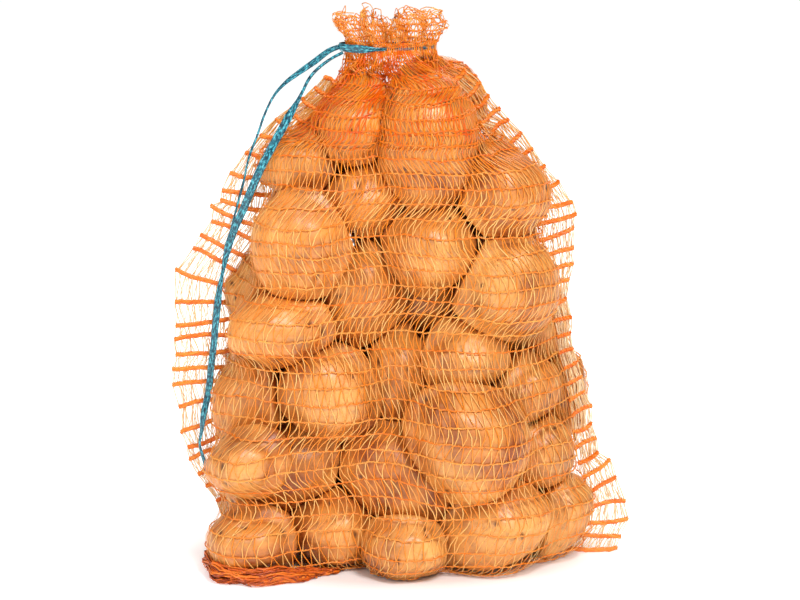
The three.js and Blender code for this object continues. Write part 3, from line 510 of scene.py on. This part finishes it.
def strands(lines, width, wall, sides, material):
    """The mesh of many strands. Each line is (points, ways out, thickness along it, shade)."""
    mesh = bpy.data.meshes.new("lines")
    lengths = [len(line[0]) for line in lines]
    starts = np.concatenate([[0], np.cumsum(lengths)])
    edges = [start + np.stack([np.arange(n - 1), np.arange(1, n)], axis=1) for start, n in zip(starts, lengths)]
    mesh.from_pydata(np.concatenate([line[0] for line in lines]), np.concatenate(edges), [])
    out = mesh.attributes.new("outward", "FLOAT_VECTOR", "POINT")
    out.data.foreach_set("vector", np.concatenate([line[1] for line in lines]).ravel())
    for label, column in (("thick", 2), ("shade", 3)):
        mark(mesh, label, np.concatenate([np.broadcast_to(line[column], n) for line, n in zip(lines, lengths)]))
    holder = bpy.data.objects.new("lines", mesh)
    bpy.context.scene.collection.objects.link(holder)
    modifier = holder.modifiers.new("strand", "NODES")
    modifier.node_group = strand_maker
    given = {"Width": width, "Wall": wall, "Sides": sides, "Material": material}
    for item in strand_maker.interface.items_tree:
        if item.in_out == "INPUT" and item.name in given:
            modifier[item.identifier] = given[item.name]
    made = bpy.data.meshes.new_from_object(holder.evaluated_get(bpy.context.evaluated_depsgraph_get()))
    bpy.data.objects.remove(holder)
    return made


def joined(name, *meshes):
    """One piece of several meshes, each with its own material."""
    piece = bpy.data.objects.new(name, meshes[0])
    bpy.context.scene.collection.objects.link(piece)
    others = []
    for mesh in meshes[1:]:
        others.append(bpy.data.objects.new("part", mesh))
        bpy.context.scene.collection.objects.link(others[-1])
    with bpy.context.temp_override(active_object=piece, selected_editable_objects=[piece, *others]):
        bpy.ops.object.join()
    return piece


def film(name, fold, deep, dark, light, roughness):
    """Orange polyethylene film, twisted or flat: its colour runs from fold to light with the strand's own shade number,
    which painted shade in the neck's folds pushes down towards fold.
    """
    material, tree, shader = shader_nodes(
        name,
        {
            "Roughness": roughness,
            "Subsurface Weight": 0.06,
            "Subsurface Radius": (0.003, 0.0014, 0.0004),
            "Subsurface Scale": 1.0,
        },
    )
    streaks = clouds(tree, add_node(tree, "ShaderNodeTexCoord").outputs["Object"], 520.0, 3.0)
    mixed = add_node(tree, "ShaderNodeMath", {0: marked(tree, "shade"), 1: streaks}, operation="ADD")
    halved = add_node(tree, "ShaderNodeMath", {0: mixed.outputs[0], 1: 0.5}, operation="MULTIPLY")
    colour = colour_ramp(tree, halved.outputs[0], (0.0, fold), (0.8, light), (0.14, deep), (0.36, dark))
    tree.links.new(colour, shader.inputs["Base Color"])
    tree.links.new(bumps(tree, streaks, 0.4, 0.0004), shader.inputs["Normal"])
    return material


# The first colour of each film is where painted shade in the neck's folds takes the strands.
chain_film = film("chain_film", (0.86, 0.115, 0.001), (1.0, 0.22, 0.001), (0.90, 0.22, 0.012), (1.0, 0.46, 0.09), 0.34)
tape_film = film("tape_film", (0.90, 0.13, 0.001), (1.0, 0.27, 0.001), (0.92, 0.27, 0.022), (1.0, 0.62, 0.20), 0.28)

knit_chance = np.random.default_rng(5)
noise.seed_set(5)


def rows_on(grid, pitch, start=0.002):
    """The levels of the chains, evenly spaced along the way up the cloth."""
    rise = np.linalg.norm(np.diff(grid, axis=0), axis=2).mean(axis=1)
    climb = np.concatenate([[0], np.cumsum(rise)])
    return np.interp(np.arange(start, climb[-1], pitch), climb, np.arange(len(grid)))


# Painted shade along the three deep folds under the tie: where each starts there, how it slopes on the way down, and
# how dark it is painted.
NECK_FOLDS = ((0.002, -0.6, 0.8), (0.017, 0.75, 0.6), (-0.019, -0.9, 0.5))


def neck_deepening_and_fold_shade(spots):
    """How much deeper the orange is painted towards the neck, where the cloth lies in layers, and the painted shade
    along the three deep folds under the tie.
    """
    across, height = spots[:, 0] - NECK_OFFSET, spots[:, 2]
    fold_shade = 0
    for place, slope, depth in NECK_FOLDS:
        off = (across - place - slope * (0.357 - height)) / (0.003 + 0.06 * (0.365 - height))
        fold_shade = fold_shade + depth * np.exp(-(off**2))
    under_tie = 1 - smoothstep(height, 0.364, 0.372)
    layers = 0.6 * smoothstep(height, 0.24, 0.335) * (0.45 + 0.55 * under_tie)
    return layers + fold_shade * smoothstep(height, 0.295, 0.325) * under_tie


def wander(wales, level):
    """How far a chain strays up or down from its own row, in levels."""
    slow = [noise.noise(Vector((wale * 0.07, level * 0.16, 5.3))) for wale in wales]
    quick = [noise.noise(Vector((wale * 0.23, level * 0.9, 3.1))) for wale in wales]
    return 1.1 * np.array(slow) + 0.3 * np.array(quick)


def chain_lines(grid, level, first, last):
    """The two tapes of one chain, twisted round each other, from one wale to another."""
    wales = np.arange(first * 2, last * 2 + 1) / 2
    drift = wander(wales, level)
    jog = 0.1 * knit_chance.standard_normal(len(wales))
    lines = []
    for side in (1, -1):
        twist = side * np.where(np.arange(len(wales)) % 2, 1, -1)
        spots, out = on_net(grid, level + drift + jog, wales, CHAIN_GIRTH * 0.6)
        tall = np.cross(out, np.gradient(spots, axis=0))
        tall /= np.linalg.norm(tall, axis=1, keepdims=True)
        spots = spots + tall * (CHAIN_TWIST * twist)[:, None] + out * (CHAIN_TWIST * 0.4 * side)
        thick = 1 + 0.18 * knit_chance.standard_normal(len(wales)).clip(-1.5, 1.5)
        shade = knit_chance.uniform(0.2, 0.9) + 0.2 * np.sin(wales * 0.7 + level) - neck_deepening_and_fold_shade(spots)
        lines.append((spots, out, thick, shade))
    return lines


def tape_lines(grid, under, over, row, first, last, slack=0.0):
    """The flat tapes that zigzag between two chains, and stand off the cloth where they are slack."""
    share = np.array([0, 0.5, 1])
    lines = []
    for wale in range(first, last):
        slant = TAPE_SLANT if (wale + row) % 2 else -TAPE_SLANT
        lean = 0.8 * noise.noise(Vector((wale * 0.06, row * 0.35, 7.7)))
        jog = knit_chance.uniform(-0.16, 0.16, 2)
        start, end = wale + 0.5 - slant + jog[0] - lean / 2, wale + 0.5 + slant + jog[1] + lean / 2
        start, end = max(first, min(last, start)), max(first, min(last, end))
        bow = knit_chance.uniform(-0.12, 0.12) * np.sin(share * math.pi)
        stand = 0.0004 + slack * knit_chance.uniform(-0.4, 1) * np.sin(share * math.pi)[:, None]
        foot, top = under + wander([start], under)[0], over + wander([end], over)[0]
        spots, out = on_net(grid, foot + (top - foot) * share, start + (end - start) * share + bow, stand)
        thick = knit_chance.uniform(0.65, 1.2) * np.array([0.8, 1, 0.8])
        lines.append((spots, out, thick, knit_chance.uniform(0, 1) - neck_deepening_and_fold_shade(spots)))
    return lines


def knitted(name, chains, tapes):
    return joined(
        name,
        strands(chains, CHAIN_GIRTH, CHAIN_GIRTH * 0.8, 3, chain_film),
        strands(tapes, TAPE_WIDTH, TAPE_WALL, 4, tape_film),
    )


for panel_name, first in (("net_back", 0), ("net_front", HALF)):
    last = first + HALF
    row_levels = rows_on(net_grid, ROW_PITCH)
    chains = [line for level in row_levels for line in chain_lines(net_grid, level, first, last)]
    tapes = []
    for row, (under, over) in enumerate(zip(row_levels, [*row_levels[1:], len(net_grid) - 1.001])):
        tapes += tape_lines(net_grid, under, over, row, first, last)
    panel = knitted(panel_name.replace("net", "knit"), chains, tapes)
    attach(panel, "root")
    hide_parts(panel_name)


# The gathers: under the tie the cloth is drawn into pleats that lie two and three deep, so that a second run of strands
# shows between those in front.
PLEAT_FOOT, PLEAT_SINK, PLEAT_CLEARANCE = 0.3, 0.0022, 0.0005
PLEAT_SHIFT = 3  # wales
pleat_rows = np.flatnonzero(wall_grid[:, 0, 2] > PLEAT_FOOT)
pleat_grid = np.roll(wall_grid[pleat_rows], PLEAT_SHIFT, axis=1)
out = pleat_grid[..., :2] - (NECK_OFFSET, 0)
pleat_grid[..., :2] -= PLEAT_SINK * out / np.linalg.norm(out, axis=-1, keepdims=True)
clear_of_heap(pleat_grid, PLEAT_CLEARANCE)
chains, tapes = [], []
pleat_levels = rows_on(pleat_grid, ROW_PITCH, 0.004)
for row, (under, over) in enumerate(zip(pleat_levels[:-1], pleat_levels[1:])):
    chains += chain_lines(pleat_grid, under, 0, WALES)
    tapes += tape_lines(pleat_grid, under, over, row + 50, 0, WALES)[::2]
pleats = knitted("neck_pleats", chains, tapes)
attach(pleats, "root")


# The flaps: outside each side seam both panels lie flat on each other, unstretched. Their doubled chains are drawn
# together into short thick bars square to the seam, and pale slack tapes join one bar to the next.
FLAP_WIDTH, FLAP_PITCH = 0.036, 0.0118
FLAP_FOOT, FLAP_TOP = 0.006, 0.345
FLAP_WAVE, FLAP_WAVE_LENGTH = 0.004, 0.095
FLAP_TAPES = 19
BAR_GIRTH, BAR_SWEEP = 0.0024, 0.0022
BAR_CRUMPLE, TOP_CRUMPLE = 0.0011, 0.0022  # everywhere, and what is added near the neck
BAR_LOWEST = 0.0012
# The flaps' width as a share of FLAP_WIDTH, by the height as a share of the neck's.
LEFT_FLAP = (
    (0, 0.1), (0.14, 0.4), (0.22, 0.85), (0.32, 0.95), (0.43, 1.1),
    (0.54, 1.05), (0.62, 1.0), (0.72, 0.85), (0.79, 0.5), (0.92, 0.3),
)
RIGHT_FLAP = (
    (0, 1.15), (0.06, 1.0), (0.12, 0.75), (0.18, 0.5), (0.27, 0.4), (0.36, 0.28),
    (0.5, 0.35), (0.56, 0.6), (0.66, 0.85), (0.72, 0.6), (0.78, 0.45), (0.92, 0.5),
)
# Degrees by which the bars' outer ends rise.
LEFT_TILT = ((0, -20), (0.3, -14), (0.45, 0), (0.8, 0), (1, 0))
RIGHT_TILT = ((0, 14), (0.12, 20), (0.3, 16), (0.5, 8), (0.75, 0), (1, 0))

bar_film = film("bar_film", (0.34, 0.045, 0.003), (0.66, 0.10, 0.004), (0.84, 0.17, 0.006), (1.0, 0.32, 0.03), 0.42)
pale_film = film("pale_film", (0.92, 0.36, 0.05), (0.95, 0.46, 0.12), (0.96, 0.60, 0.27), (1.0, 0.84, 0.56), 0.3)

for node_name, side, wale, table, tilts in (
    ("side_flap_left", -1, HALF, LEFT_FLAP, LEFT_TILT),
    ("side_flap_right", 1, 0, RIGHT_FLAP, RIGHT_TILT),
):
    seam = wall_grid[:, wale, ::2].copy()
    for _ in range(30):
        seam[1:-1, 0] = np.where(side * seam[1:-1, 0] > 0, (seam[:-2, 0] + seam[2:, 0]) / 2, seam[1:-1, 0])
    run = np.concatenate([[0], np.cumsum(np.linalg.norm(np.diff(seam, axis=0), axis=1))])
    along = np.arange(FLAP_FOOT, np.interp(FLAP_TOP, seam[:, 1], run), FLAP_PITCH)
    foot = np.stack([np.interp(along, run, seam[:, 0]), np.interp(along, run, seam[:, 1])], axis=1)
    way = np.gradient(foot, axis=0)
    way /= np.linalg.norm(way, axis=1, keepdims=True)
    share = foot[:, 1] / NECK_TOP
    width = FLAP_WIDTH * np.interp(share, *zip(*table)) * knit_chance.uniform(0.88, 1.08, len(foot))
    tilt = np.radians(np.interp(share, *zip(*tilts)) + knit_chance.uniform(-5, 5, len(foot)))
    square = np.stack([way[:, 1], -way[:, 0]], axis=1) * side
    square[:, 1] = np.clip(square[:, 1], -0.2, 0.75)
    square /= np.linalg.norm(square, axis=1, keepdims=True)
    turned_x = square[:, 0] * np.cos(tilt) - side * square[:, 1] * np.sin(tilt)
    turned_z = square[:, 1] * np.cos(tilt) + side * square[:, 0] * np.sin(tilt)
    across = np.linspace(-0.06, 1, 9)
    bars = np.zeros((len(foot), len(across), 3))
    sweep = np.sin(across * math.pi) * BAR_SWEEP
    for k, (foot_x, foot_z) in enumerate(foot):
        step = across * width[k]
        bars[k, :, 0] = foot_x + turned_x[k] * step
        bars[k, :, 2] = foot_z + turned_z[k] * step + sweep * knit_chance.uniform(-1, 1)
        bars[k, :, 1] = FLAP_WAVE * across * math.sin(2 * math.pi * foot_z / FLAP_WAVE_LENGTH + 0.4 * k % 1)
        crumple = BAR_CRUMPLE + TOP_CRUMPLE * float(smoothstep(foot_z, 0.25, 0.32))
        for n, spot in enumerate(bars[k]):
            bars[k, n] += crumple * np.array(noise.noise_vector(Vector(spot) * 110 + Vector((0, 0, k * 3.7))))
    bars[..., 2] = np.maximum(bars[..., 2], BAR_LOWEST)
    bar_strands, tapes = [], []
    for k, bar in enumerate(bars):
        for turn in range(3):
            winding = np.arange(len(across)) * 1.5 + turn * 2.1 + k
            offset = np.stack([0 * winding, np.cos(winding), np.sin(winding)], axis=1) * BAR_GIRTH * 0.36
            swell = 0.75 + 0.35 * np.sin(across.clip(0, 1) * math.pi) + 0.12 * knit_chance.standard_normal(len(across))
            # Painted light: each strand of a bar is painted lighter where its twist brings it to the top of the bar,
            # and darker underneath.
            shade = knit_chance.uniform(0.1, 0.8) + 0.15 * np.sin(winding)
            bar_strands.append((bar + offset, np.tile((0.0, -1.0, 0.0), (len(bar), 1)), swell.clip(0.4, 1.4), shade))
        if k + 1 == len(bars):
            break
        for layer in (-1, 1):
            for tape in range(FLAP_TAPES):
                start = (tape + knit_chance.uniform(0, 1)) / FLAP_TAPES * (len(across) - 1)
                end = np.clip(start + knit_chance.uniform(-0.9, 0.9), 0, len(across) - 1)
                ends = []
                for row, place in ((k, start), (k + 1, end)):
                    low = min(int(place), len(across) - 2)
                    ends.append(bars[row, low] * (1 - place + low) + bars[row, low + 1] * (place - low))
                rise = np.linspace(0, 1, 5)
                spots = ends[0] * (1 - rise[:, None]) + ends[1] * rise[:, None]
                bulge = np.sin(rise * math.pi)
                spots[:, 0] += bulge * knit_chance.uniform(-0.0008, 0.0008)
                spots[:, 1] += layer * (0.0004 + bulge * knit_chance.uniform(0.0, 0.0016))
                out = np.tile((knit_chance.uniform(-0.5, 0.5), -1.0, 0.0), (5, 1))
                thick = knit_chance.uniform(0.6, 1.1)
                tapes.append((spots, out, thick, knit_chance.uniform(0, 1) - neck_deepening_and_fold_shade(spots)))
    flap = joined(
        node_name.replace("side_flap", "selvedge"),
        strands(bar_strands, BAR_GIRTH, BAR_GIRTH * 0.8, 5, bar_film),
        strands(tapes, TAPE_WIDTH * 0.85, TAPE_WALL, 4, pale_film),
    )
    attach(flap, "root")
    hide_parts(node_name)


# The ruffle: the bag's mouth over the tie. The same cloth opens out again in small folds and is crumpled, so its rows
# lie close together, and at its rim the last chain and a few pulled threads stand up in loops.
RUFFLE_HEIGHT, RUFFLE_LEAN = 0.0175, -0.004
RUFFLE_FOLD, RUFFLE_FOLDS = 0.004, 9
RUFFLE_FRILL, RUFFLE_FRILLS = 0.0013, 31
RUFFLE_DIP, RUFFLE_DIP_WIDTH = 0.007, 0.22
RUFFLE_CRUMPLE = 0.0036
RUFFLE_PITCH = 0.0046
RUFFLE_OUT = ((0, 1.0), (0.3, 1.08), (0.65, 1.2), (1, 1.16))  # its width to the neck's, on the way up
RUFFLE_DEEP = ((0, 0.5), (0.3, 0.8), (0.65, 1.1), (1, 1.3))  # how deep its folds are, on the way up
LOOPS, LOOP_STRAND = 46, 0.6

ruffle_ups = np.linspace(0, 1, 13)
even_turns = np.arange(WALES) / WALES * 2 * math.pi
ruffle_spokes = np.stack([np.cos(even_turns), np.sin(even_turns)], axis=1)
even_reach = 1 / np.hypot(ruffle_spokes[:, 0] / (NECK_WIDTH / 2), ruffle_spokes[:, 1] / (NECK_DEPTH / 2))
ruffle_grid = np.zeros((len(ruffle_ups), WALES, 3))
for j, up in enumerate(ruffle_ups):
    deep = np.interp(up, *zip(*RUFFLE_DEEP))
    fold = deep * RUFFLE_FOLD * np.cos(RUFFLE_FOLDS * even_turns + 1.2 * np.sin(2 * even_turns))
    frill = deep * RUFFLE_FRILL * np.cos(RUFFLE_FRILLS * even_turns + 2 * np.sin(5 * even_turns) + 2 * up)
    out = np.interp(up, *zip(*RUFFLE_OUT)) * even_reach + fold + frill
    dip = RUFFLE_DIP * up * np.exp(-((ruffle_spokes[:, 0] / RUFFLE_DIP_WIDTH) ** 2))
    ruffle_grid[j, :, 0] = NECK_OFFSET + RUFFLE_LEAN * up + out * ruffle_spokes[:, 0]
    ruffle_grid[j, :, 1] = out * ruffle_spokes[:, 1]
    ruffle_grid[j, :, 2] = NECK_TOP - 0.001 + up * RUFFLE_HEIGHT - dip
    for spot in ruffle_grid[j]:
        spot += RUFFLE_CRUMPLE * up**0.7 * np.array(noise.noise_vector(Vector(spot) * 130))

chains, tapes = [], []
ruffle_levels = rows_on(ruffle_grid, RUFFLE_PITCH, 0.001)
for row, (under, over) in enumerate(zip(ruffle_levels, [*ruffle_levels[1:], len(ruffle_grid) - 1.001])):
    chains += chain_lines(ruffle_grid, under, 0, WALES)
    tapes += tape_lines(ruffle_grid, under, over, row, 0, WALES, slack=0.0016)
for _ in range(LOOPS):
    start = knit_chance.uniform(0, WALES)
    span = knit_chance.uniform(3, 13)
    rise = np.linspace(0, 1, 9)
    spots, out = on_net(ruffle_grid, np.full(9, len(ruffle_grid) - 1.1), start + span * rise)
    spots[:, 2] += knit_chance.uniform(0.001, 0.0055) * np.sin(rise * math.pi)
    chains.append((spots, out, LOOP_STRAND, knit_chance.uniform(0.3, 1)))
ruffle = knitted("mouth_ruffle", chains, tapes)
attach(ruffle, "root")
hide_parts("neck_ruffle")


# The bottom hem: at the left front corner the spare cloth of the bag's foot is bunched into a dense dark roll, held by
# nothing but the bag's weight. Its strands lie tangled at all depths of the roll.
HEM_DEPTH, HEM_HEIGHT, HEM_LEVELS = 0.010, 0.017, 12
HEM_FIRST, HEM_LAST = HALF + 4, HALF + 43  # wales
HEM_RISE = ((0, 0.8), (2, 1), (5, 0.8), (8, 0.3))  # its height to HEM_HEIGHT, by eighths of its length
HEM_CRUMPLE, HEM_SNARL = 0.0016, 0.0014
HEM_STRANDS, HEM_LOWEST = 420, 0.0008

hem_wales = np.arange(HEM_FIRST, HEM_LAST + 1)
hem_cells = (hem_wales - HEM_FIRST) / (HEM_LAST - HEM_FIRST) * 8
hem_bunch = 0.55 + 0.45 * np.sin(2.3 * hem_cells) ** 2
hem_ends = np.sin(math.pi * (hem_cells + 0.6) / 9.2)
hem_grid = np.zeros((HEM_LEVELS, len(hem_wales), 3))
for j in range(HEM_LEVELS):
    up = j / (HEM_LEVELS - 1)
    roll = HEM_DEPTH * math.sin(math.pi * (0.2 + 0.75 * up)) * hem_bunch * hem_ends
    level = SOLE_LEVELS + up * HEM_HEIGHT * np.interp(hem_cells, *zip(*HEM_RISE)) / LEVEL_STEP
    hem_grid[j] = on_net(net_grid, level, hem_wales.astype(float), 0.0006 + roll[:, None])[0]
    for spot in hem_grid[j]:
        spot += HEM_CRUMPLE * np.array(noise.noise_vector(Vector(spot) * 150))
hem_grid[..., 2] = np.maximum(hem_grid[..., 2], HEM_LOWEST)
tangle = []
for number in range(HEM_STRANDS):
    run = knit_chance.uniform(5, 14)
    start = knit_chance.uniform(-1, len(hem_wales) - run)
    along = np.clip(start + run * np.linspace(0, 1, 9), 0, len(hem_wales) - 1.01)
    climb = knit_chance.uniform(0, HEM_LEVELS - 1) + knit_chance.uniform(-2.5, 2.5) * np.linspace(-1, 1, 9)
    depth = knit_chance.uniform(-0.0035, 0.0006)
    spots, out = on_net(hem_grid, np.clip(climb, 0, HEM_LEVELS - 1.01), along, depth)
    for spot in spots:
        spot += HEM_SNARL * np.array(noise.noise_vector(Vector(spot) * 260 + Vector((number * 1.7, 0, 0))))
    spots[:, 2] = np.maximum(spots[:, 2], HEM_LOWEST)
    tangle.append((spots, out, knit_chance.uniform(0.6, 1.4), knit_chance.uniform(-0.7, 0.6)))
hem = joined(
    "foot_hem",
    strands(tangle[::2], CHAIN_GIRTH * 1.2, CHAIN_GIRTH, 4, bar_film),
    strands(tangle[1::2], TAPE_WIDTH * 2.4, TAPE_WALL * 1.5, 4, bar_film),
)
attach(hem, "root")
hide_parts("bottom_hem")


# The drawstring: a flat teal tape of shiny polyethylene film, threaded through the net at the neck. Its loop lies
# bunched in the folds, and both cut ends hang down the left side.
DRAW_WIDTH, DRAW_WALL = 0.0065, 0.00032
DRAW_PUCKER = 0.86  # the film is cupped, so it looks narrower than it is
DRAW_FOLD, DRAW_CRINKLE, DRAW_CUP = 0.0012, 0.0005, 0.0004
DRAW_LANES = 11
SHORT_ROUTE = (
    (-0.0417, -0.002, 0.3653), (-0.049, -0.0025, 0.3623), (-0.059, -0.004, 0.355), (-0.0695, -0.006, 0.348),
    (-0.079, -0.0075, 0.341), (-0.087, -0.008, 0.3315), (-0.093, -0.008, 0.3195), (-0.0985, -0.008, 0.304),
    (-0.1045, -0.008, 0.2875), (-0.108, -0.008, 0.2725), (-0.1125, -0.0083, 0.256), (-0.117, -0.0085, 0.239),
    (-0.121, -0.0085, 0.223),
)
LONG_ROUTE = (
    (-0.0389, -0.0085, 0.3625), (-0.047, -0.009, 0.3585), (-0.055, -0.011, 0.3525), (-0.062, -0.014, 0.345),
    (-0.067, -0.017, 0.336), (-0.0725, -0.021, 0.326), (-0.079, -0.025, 0.3145), (-0.0865, -0.0285, 0.3015),
    (-0.094, -0.0305, 0.2875), (-0.101, -0.028, 0.272), (-0.1075, -0.022, 0.256), (-0.115, -0.016, 0.239),
    (-0.1205, -0.012, 0.222), (-0.125, -0.012, 0.2005), (-0.1273, -0.012, 0.1845), (-0.129, -0.012, 0.17),
    (-0.1305, -0.012, 0.156), (-0.1325, -0.012, 0.141), (-0.1345, -0.0125, 0.1235), (-0.1383, -0.014, 0.1065),
    (-0.14, -0.0135, 0.0955), (-0.1415, -0.0135, 0.0865), (-0.14, -0.0135, 0.078), (-0.1375, -0.0135, 0.07),
    (-0.1362, -0.0135, 0.064),
)
# Degrees that the tape's face turns away from the front, along it.
SHORT_TWIST = ((0, 30), (0.15, 38), (0.24, 60), (0.32, 80), (0.8, 85), (1, 80))
LONG_TWIST = (
    (0, 80), (0.08, 80), (0.13, 55), (0.18, 10), (0.5, 20), (0.56, 55), (0.62, 25), (0.86, 30), (0.93, 65), (1, 30),
)
# How far it is spread out, along it: 1 is its whole width.
SHORT_SPREAD = ((0, 0.6), (0.1, 0.85), (0.25, 0.8), (0.35, 0.6), (1, 0.6))
LONG_SPREAD = ((0, 0.4), (0.1, 0.5), (0.18, 1), (0.5, 1), (0.56, 0.75), (0.62, 1), (0.88, 0.95), (0.93, 0.7), (1, 0.85))
LOOP_SPREAD = ((0, 0.5), (0.35, 0.35), (0.48, 0.9), (0.6, 1), (0.66, 0.5), (0.75, 0.35), (1, 0.5))
# How far the loop stands off the neck, by half turns from the right: it comes out at the left front.
LOOP_PROUD = ((0, 0.0006), (0.85, 0.002), (1, 0.007), (1.1, 0.0065), (1.3, 0.004), (1.45, 0.0006), (2, 0.0006))
LOOP_POINTS = 150
TAPE_STEP = 0.0012

draw_film, film_tree, film_shader = shader_nodes(
    "draw_film", {"Roughness": 0.2, "Specular IOR Level": 0.45, "Coat Weight": 0.25, "Coat Roughness": 0.12}
)
film_spot = {"X": marked(film_tree, "along"), "Y": marked(film_tree, "across")}
film_place = add_node(film_tree, "ShaderNodeCombineXYZ", film_spot).outputs[0]
film_stretch, film_pleats = (
    add_node(film_tree, "ShaderNodeMapping", {"Vector": film_place, "Scale": scale}).outputs[0]
    for scale in ((320.0, 2.2, 1.0), (420.0, 1.3, 1.0))
)
film_streaks_and_glints = clouds(film_tree, film_stretch, 1.0, 4.0, 0.6)
film_crinkle = clouds(film_tree, film_pleats, 1.0, 3.0, distortion=0.6)
# The film's colour follows its streaks from dark to mid teal, and its palest stop paints glints where the crinkled film
# catches the light.
film_colour = colour_ramp(
    film_tree,
    film_streaks_and_glints,
    (0.38, (0.001, 0.025, 0.045)),
    (0.63, (0.10, 0.52, 0.62)),
    (0.5, (0.002, 0.11, 0.165)),
)
film_tree.links.new(film_colour, film_shader.inputs["Base Color"])
film_normal = bumps(film_tree, film_crinkle, 0.6, 0.0011)
film_normal = bumps(film_tree, film_streaks_and_glints, 0.35, 0.0006, film_normal)
film_tree.links.new(film_normal, film_shader.inputs["Normal"])


def smooth_route(points, step):
    """Points every step along a smooth curve through the given ones."""
    points = np.array(points)
    padded = np.concatenate([2 * points[:1] - points[1:2], points, 2 * points[-1:] - points[-2:-1]])
    curve = []
    for a, b, c, d in zip(padded[:-3], padded[1:-2], padded[2:-1], padded[3:]):
        t = np.arange(0, 1, 0.05)[:, None]
        curve.append(0.5 * (2 * b + (c - a) * t + (2 * a - 5 * b + 4 * c - d) * t**2 + (3 * b - a - 3 * c + d) * t**3))
    curve = np.concatenate([*curve, points[-1:]])
    run = np.concatenate([[0], np.cumsum(np.linalg.norm(np.diff(curve, axis=0), axis=1))])
    marks = np.linspace(0, run[-1], max(2, round(run[-1] / step) + 1))
    return np.stack([np.interp(marks, run, curve[:, axis]) for axis in range(3)], axis=1), float(run[-1])


def tape_piece(name, route, twists, spreads, seed, closed=False):
    """A strip of film along a route: its face turns as twists says, and it is puckered where it isn't spread out."""
    count, lanes = len(route), DRAW_LANES
    ahead = np.roll(route, -1, axis=0) - np.roll(route, 1, axis=0) if closed else np.gradient(route, axis=0)
    ahead /= np.linalg.norm(ahead, axis=1, keepdims=True)
    share = np.linspace(0, 1, count)
    travelled = share * count * TAPE_STEP
    twist = np.radians(np.interp(share, *zip(*twists)))[:, None]
    spread = np.interp(share, *zip(*spreads))
    face = np.cross(ahead, (0.0, 0.0, 1.0)) if closed else np.tile((0.0, -1.0, 0.0), (count, 1))
    face -= (face * ahead).sum(axis=1, keepdims=True) * ahead
    face /= np.linalg.norm(face, axis=1, keepdims=True)
    aside = np.cross(ahead, face)
    face, aside = face * np.cos(twist) + aside * np.sin(twist), aside * np.cos(twist) - face * np.sin(twist)
    lane = np.linspace(-1, 1, lanes)
    spots = np.zeros((2, count, lanes, 3))
    for k, place in enumerate(lane):
        crinkle = [noise.noise(Vector((s * 60, place * 1.4, seed))) for s in travelled]
        fold = (1 - spread) * np.cos(place * 7.5 + seed) * DRAW_FOLD
        fold = fold + DRAW_CRINKLE * np.array(crinkle) * (1 - 0.5 * place**2)
        sideways = aside * (place * DRAW_WIDTH / 2 * DRAW_PUCKER * spread)[:, None]
        for layer, lift in ((0, DRAW_WALL / 2), (1, -DRAW_WALL / 2)):
            wall = lift * (1 if abs(place) < 1 else 0.4)
            spots[layer, :, k] = route + sideways + face * (fold - DRAW_CUP * place**2 + wall)[:, None]

    def at(layer, row, column):
        return (layer * count + row % count) * lanes + column

    faces = []
    last = lanes - 1
    for row in range(count if closed else count - 1):
        for k in range(last):
            faces.append([at(0, row, k), at(0, row + 1, k), at(0, row + 1, k + 1), at(0, row, k + 1)])
            faces.append([at(1, row, k), at(1, row, k + 1), at(1, row + 1, k + 1), at(1, row + 1, k)])
        for k in (0, last):
            faces.append([at(0, row, k), at(1, row, k), at(1, row + 1, k), at(0, row + 1, k)])
    if not closed:
        for row in (0, count - 1):
            for k in range(last):
                faces.append([at(0, row, k), at(0, row, k + 1), at(1, row, k + 1), at(1, row, k)])
    piece = new_piece(name, spots.reshape(-1, 3), faces, draw_film)
    mark(piece.data, "along", np.broadcast_to(travelled[None, :, None], spots.shape[:3]))
    mark(piece.data, "across", np.broadcast_to(lane, spots.shape[:3]))
    outside = bmesh.new()
    outside.from_mesh(piece.data)
    bmesh.ops.recalc_face_normals(outside, faces=outside.faces)
    outside.to_mesh(piece.data)
    outside.free()
    return piece


for label, points, twists, spreads, node_name in (
    ("tape_short", SHORT_ROUTE, SHORT_TWIST, SHORT_SPREAD, "drawstring_short_end"),
    ("tape_long", LONG_ROUTE, LONG_TWIST, LONG_SPREAD, "drawstring_long_end"),
):
    route, run = smooth_route(points, TAPE_STEP)
    end = tape_piece(label, route, twists, spreads, len(label))
    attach(end, "root")
    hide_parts(node_name)
    smooth_route(points, run / 34)[0].tolist()

loop_turns = np.arange(LOOP_POINTS) / LOOP_POINTS * 2 * math.pi
loop_reach = 1 / np.hypot(np.cos(loop_turns) / (NECK_WIDTH / 2), np.sin(loop_turns) / (NECK_DEPTH / 2))
loop_reach += np.interp(loop_turns / math.pi, *zip(*LOOP_PROUD))
loop_route = np.zeros((LOOP_POINTS, 3))
loop_route[:, 0] = NECK_OFFSET + loop_reach * np.cos(loop_turns)
loop_route[:, 1] = loop_reach * np.sin(loop_turns)
loop_route[:, 2] = (NECK_FOOT + NECK_TOP) / 2
loop = tape_piece("tape_loop", loop_route, ((0, 0), (1, 0)), LOOP_SPREAD, 3, closed=True)
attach(loop, "root")
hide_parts("drawstring_loop")
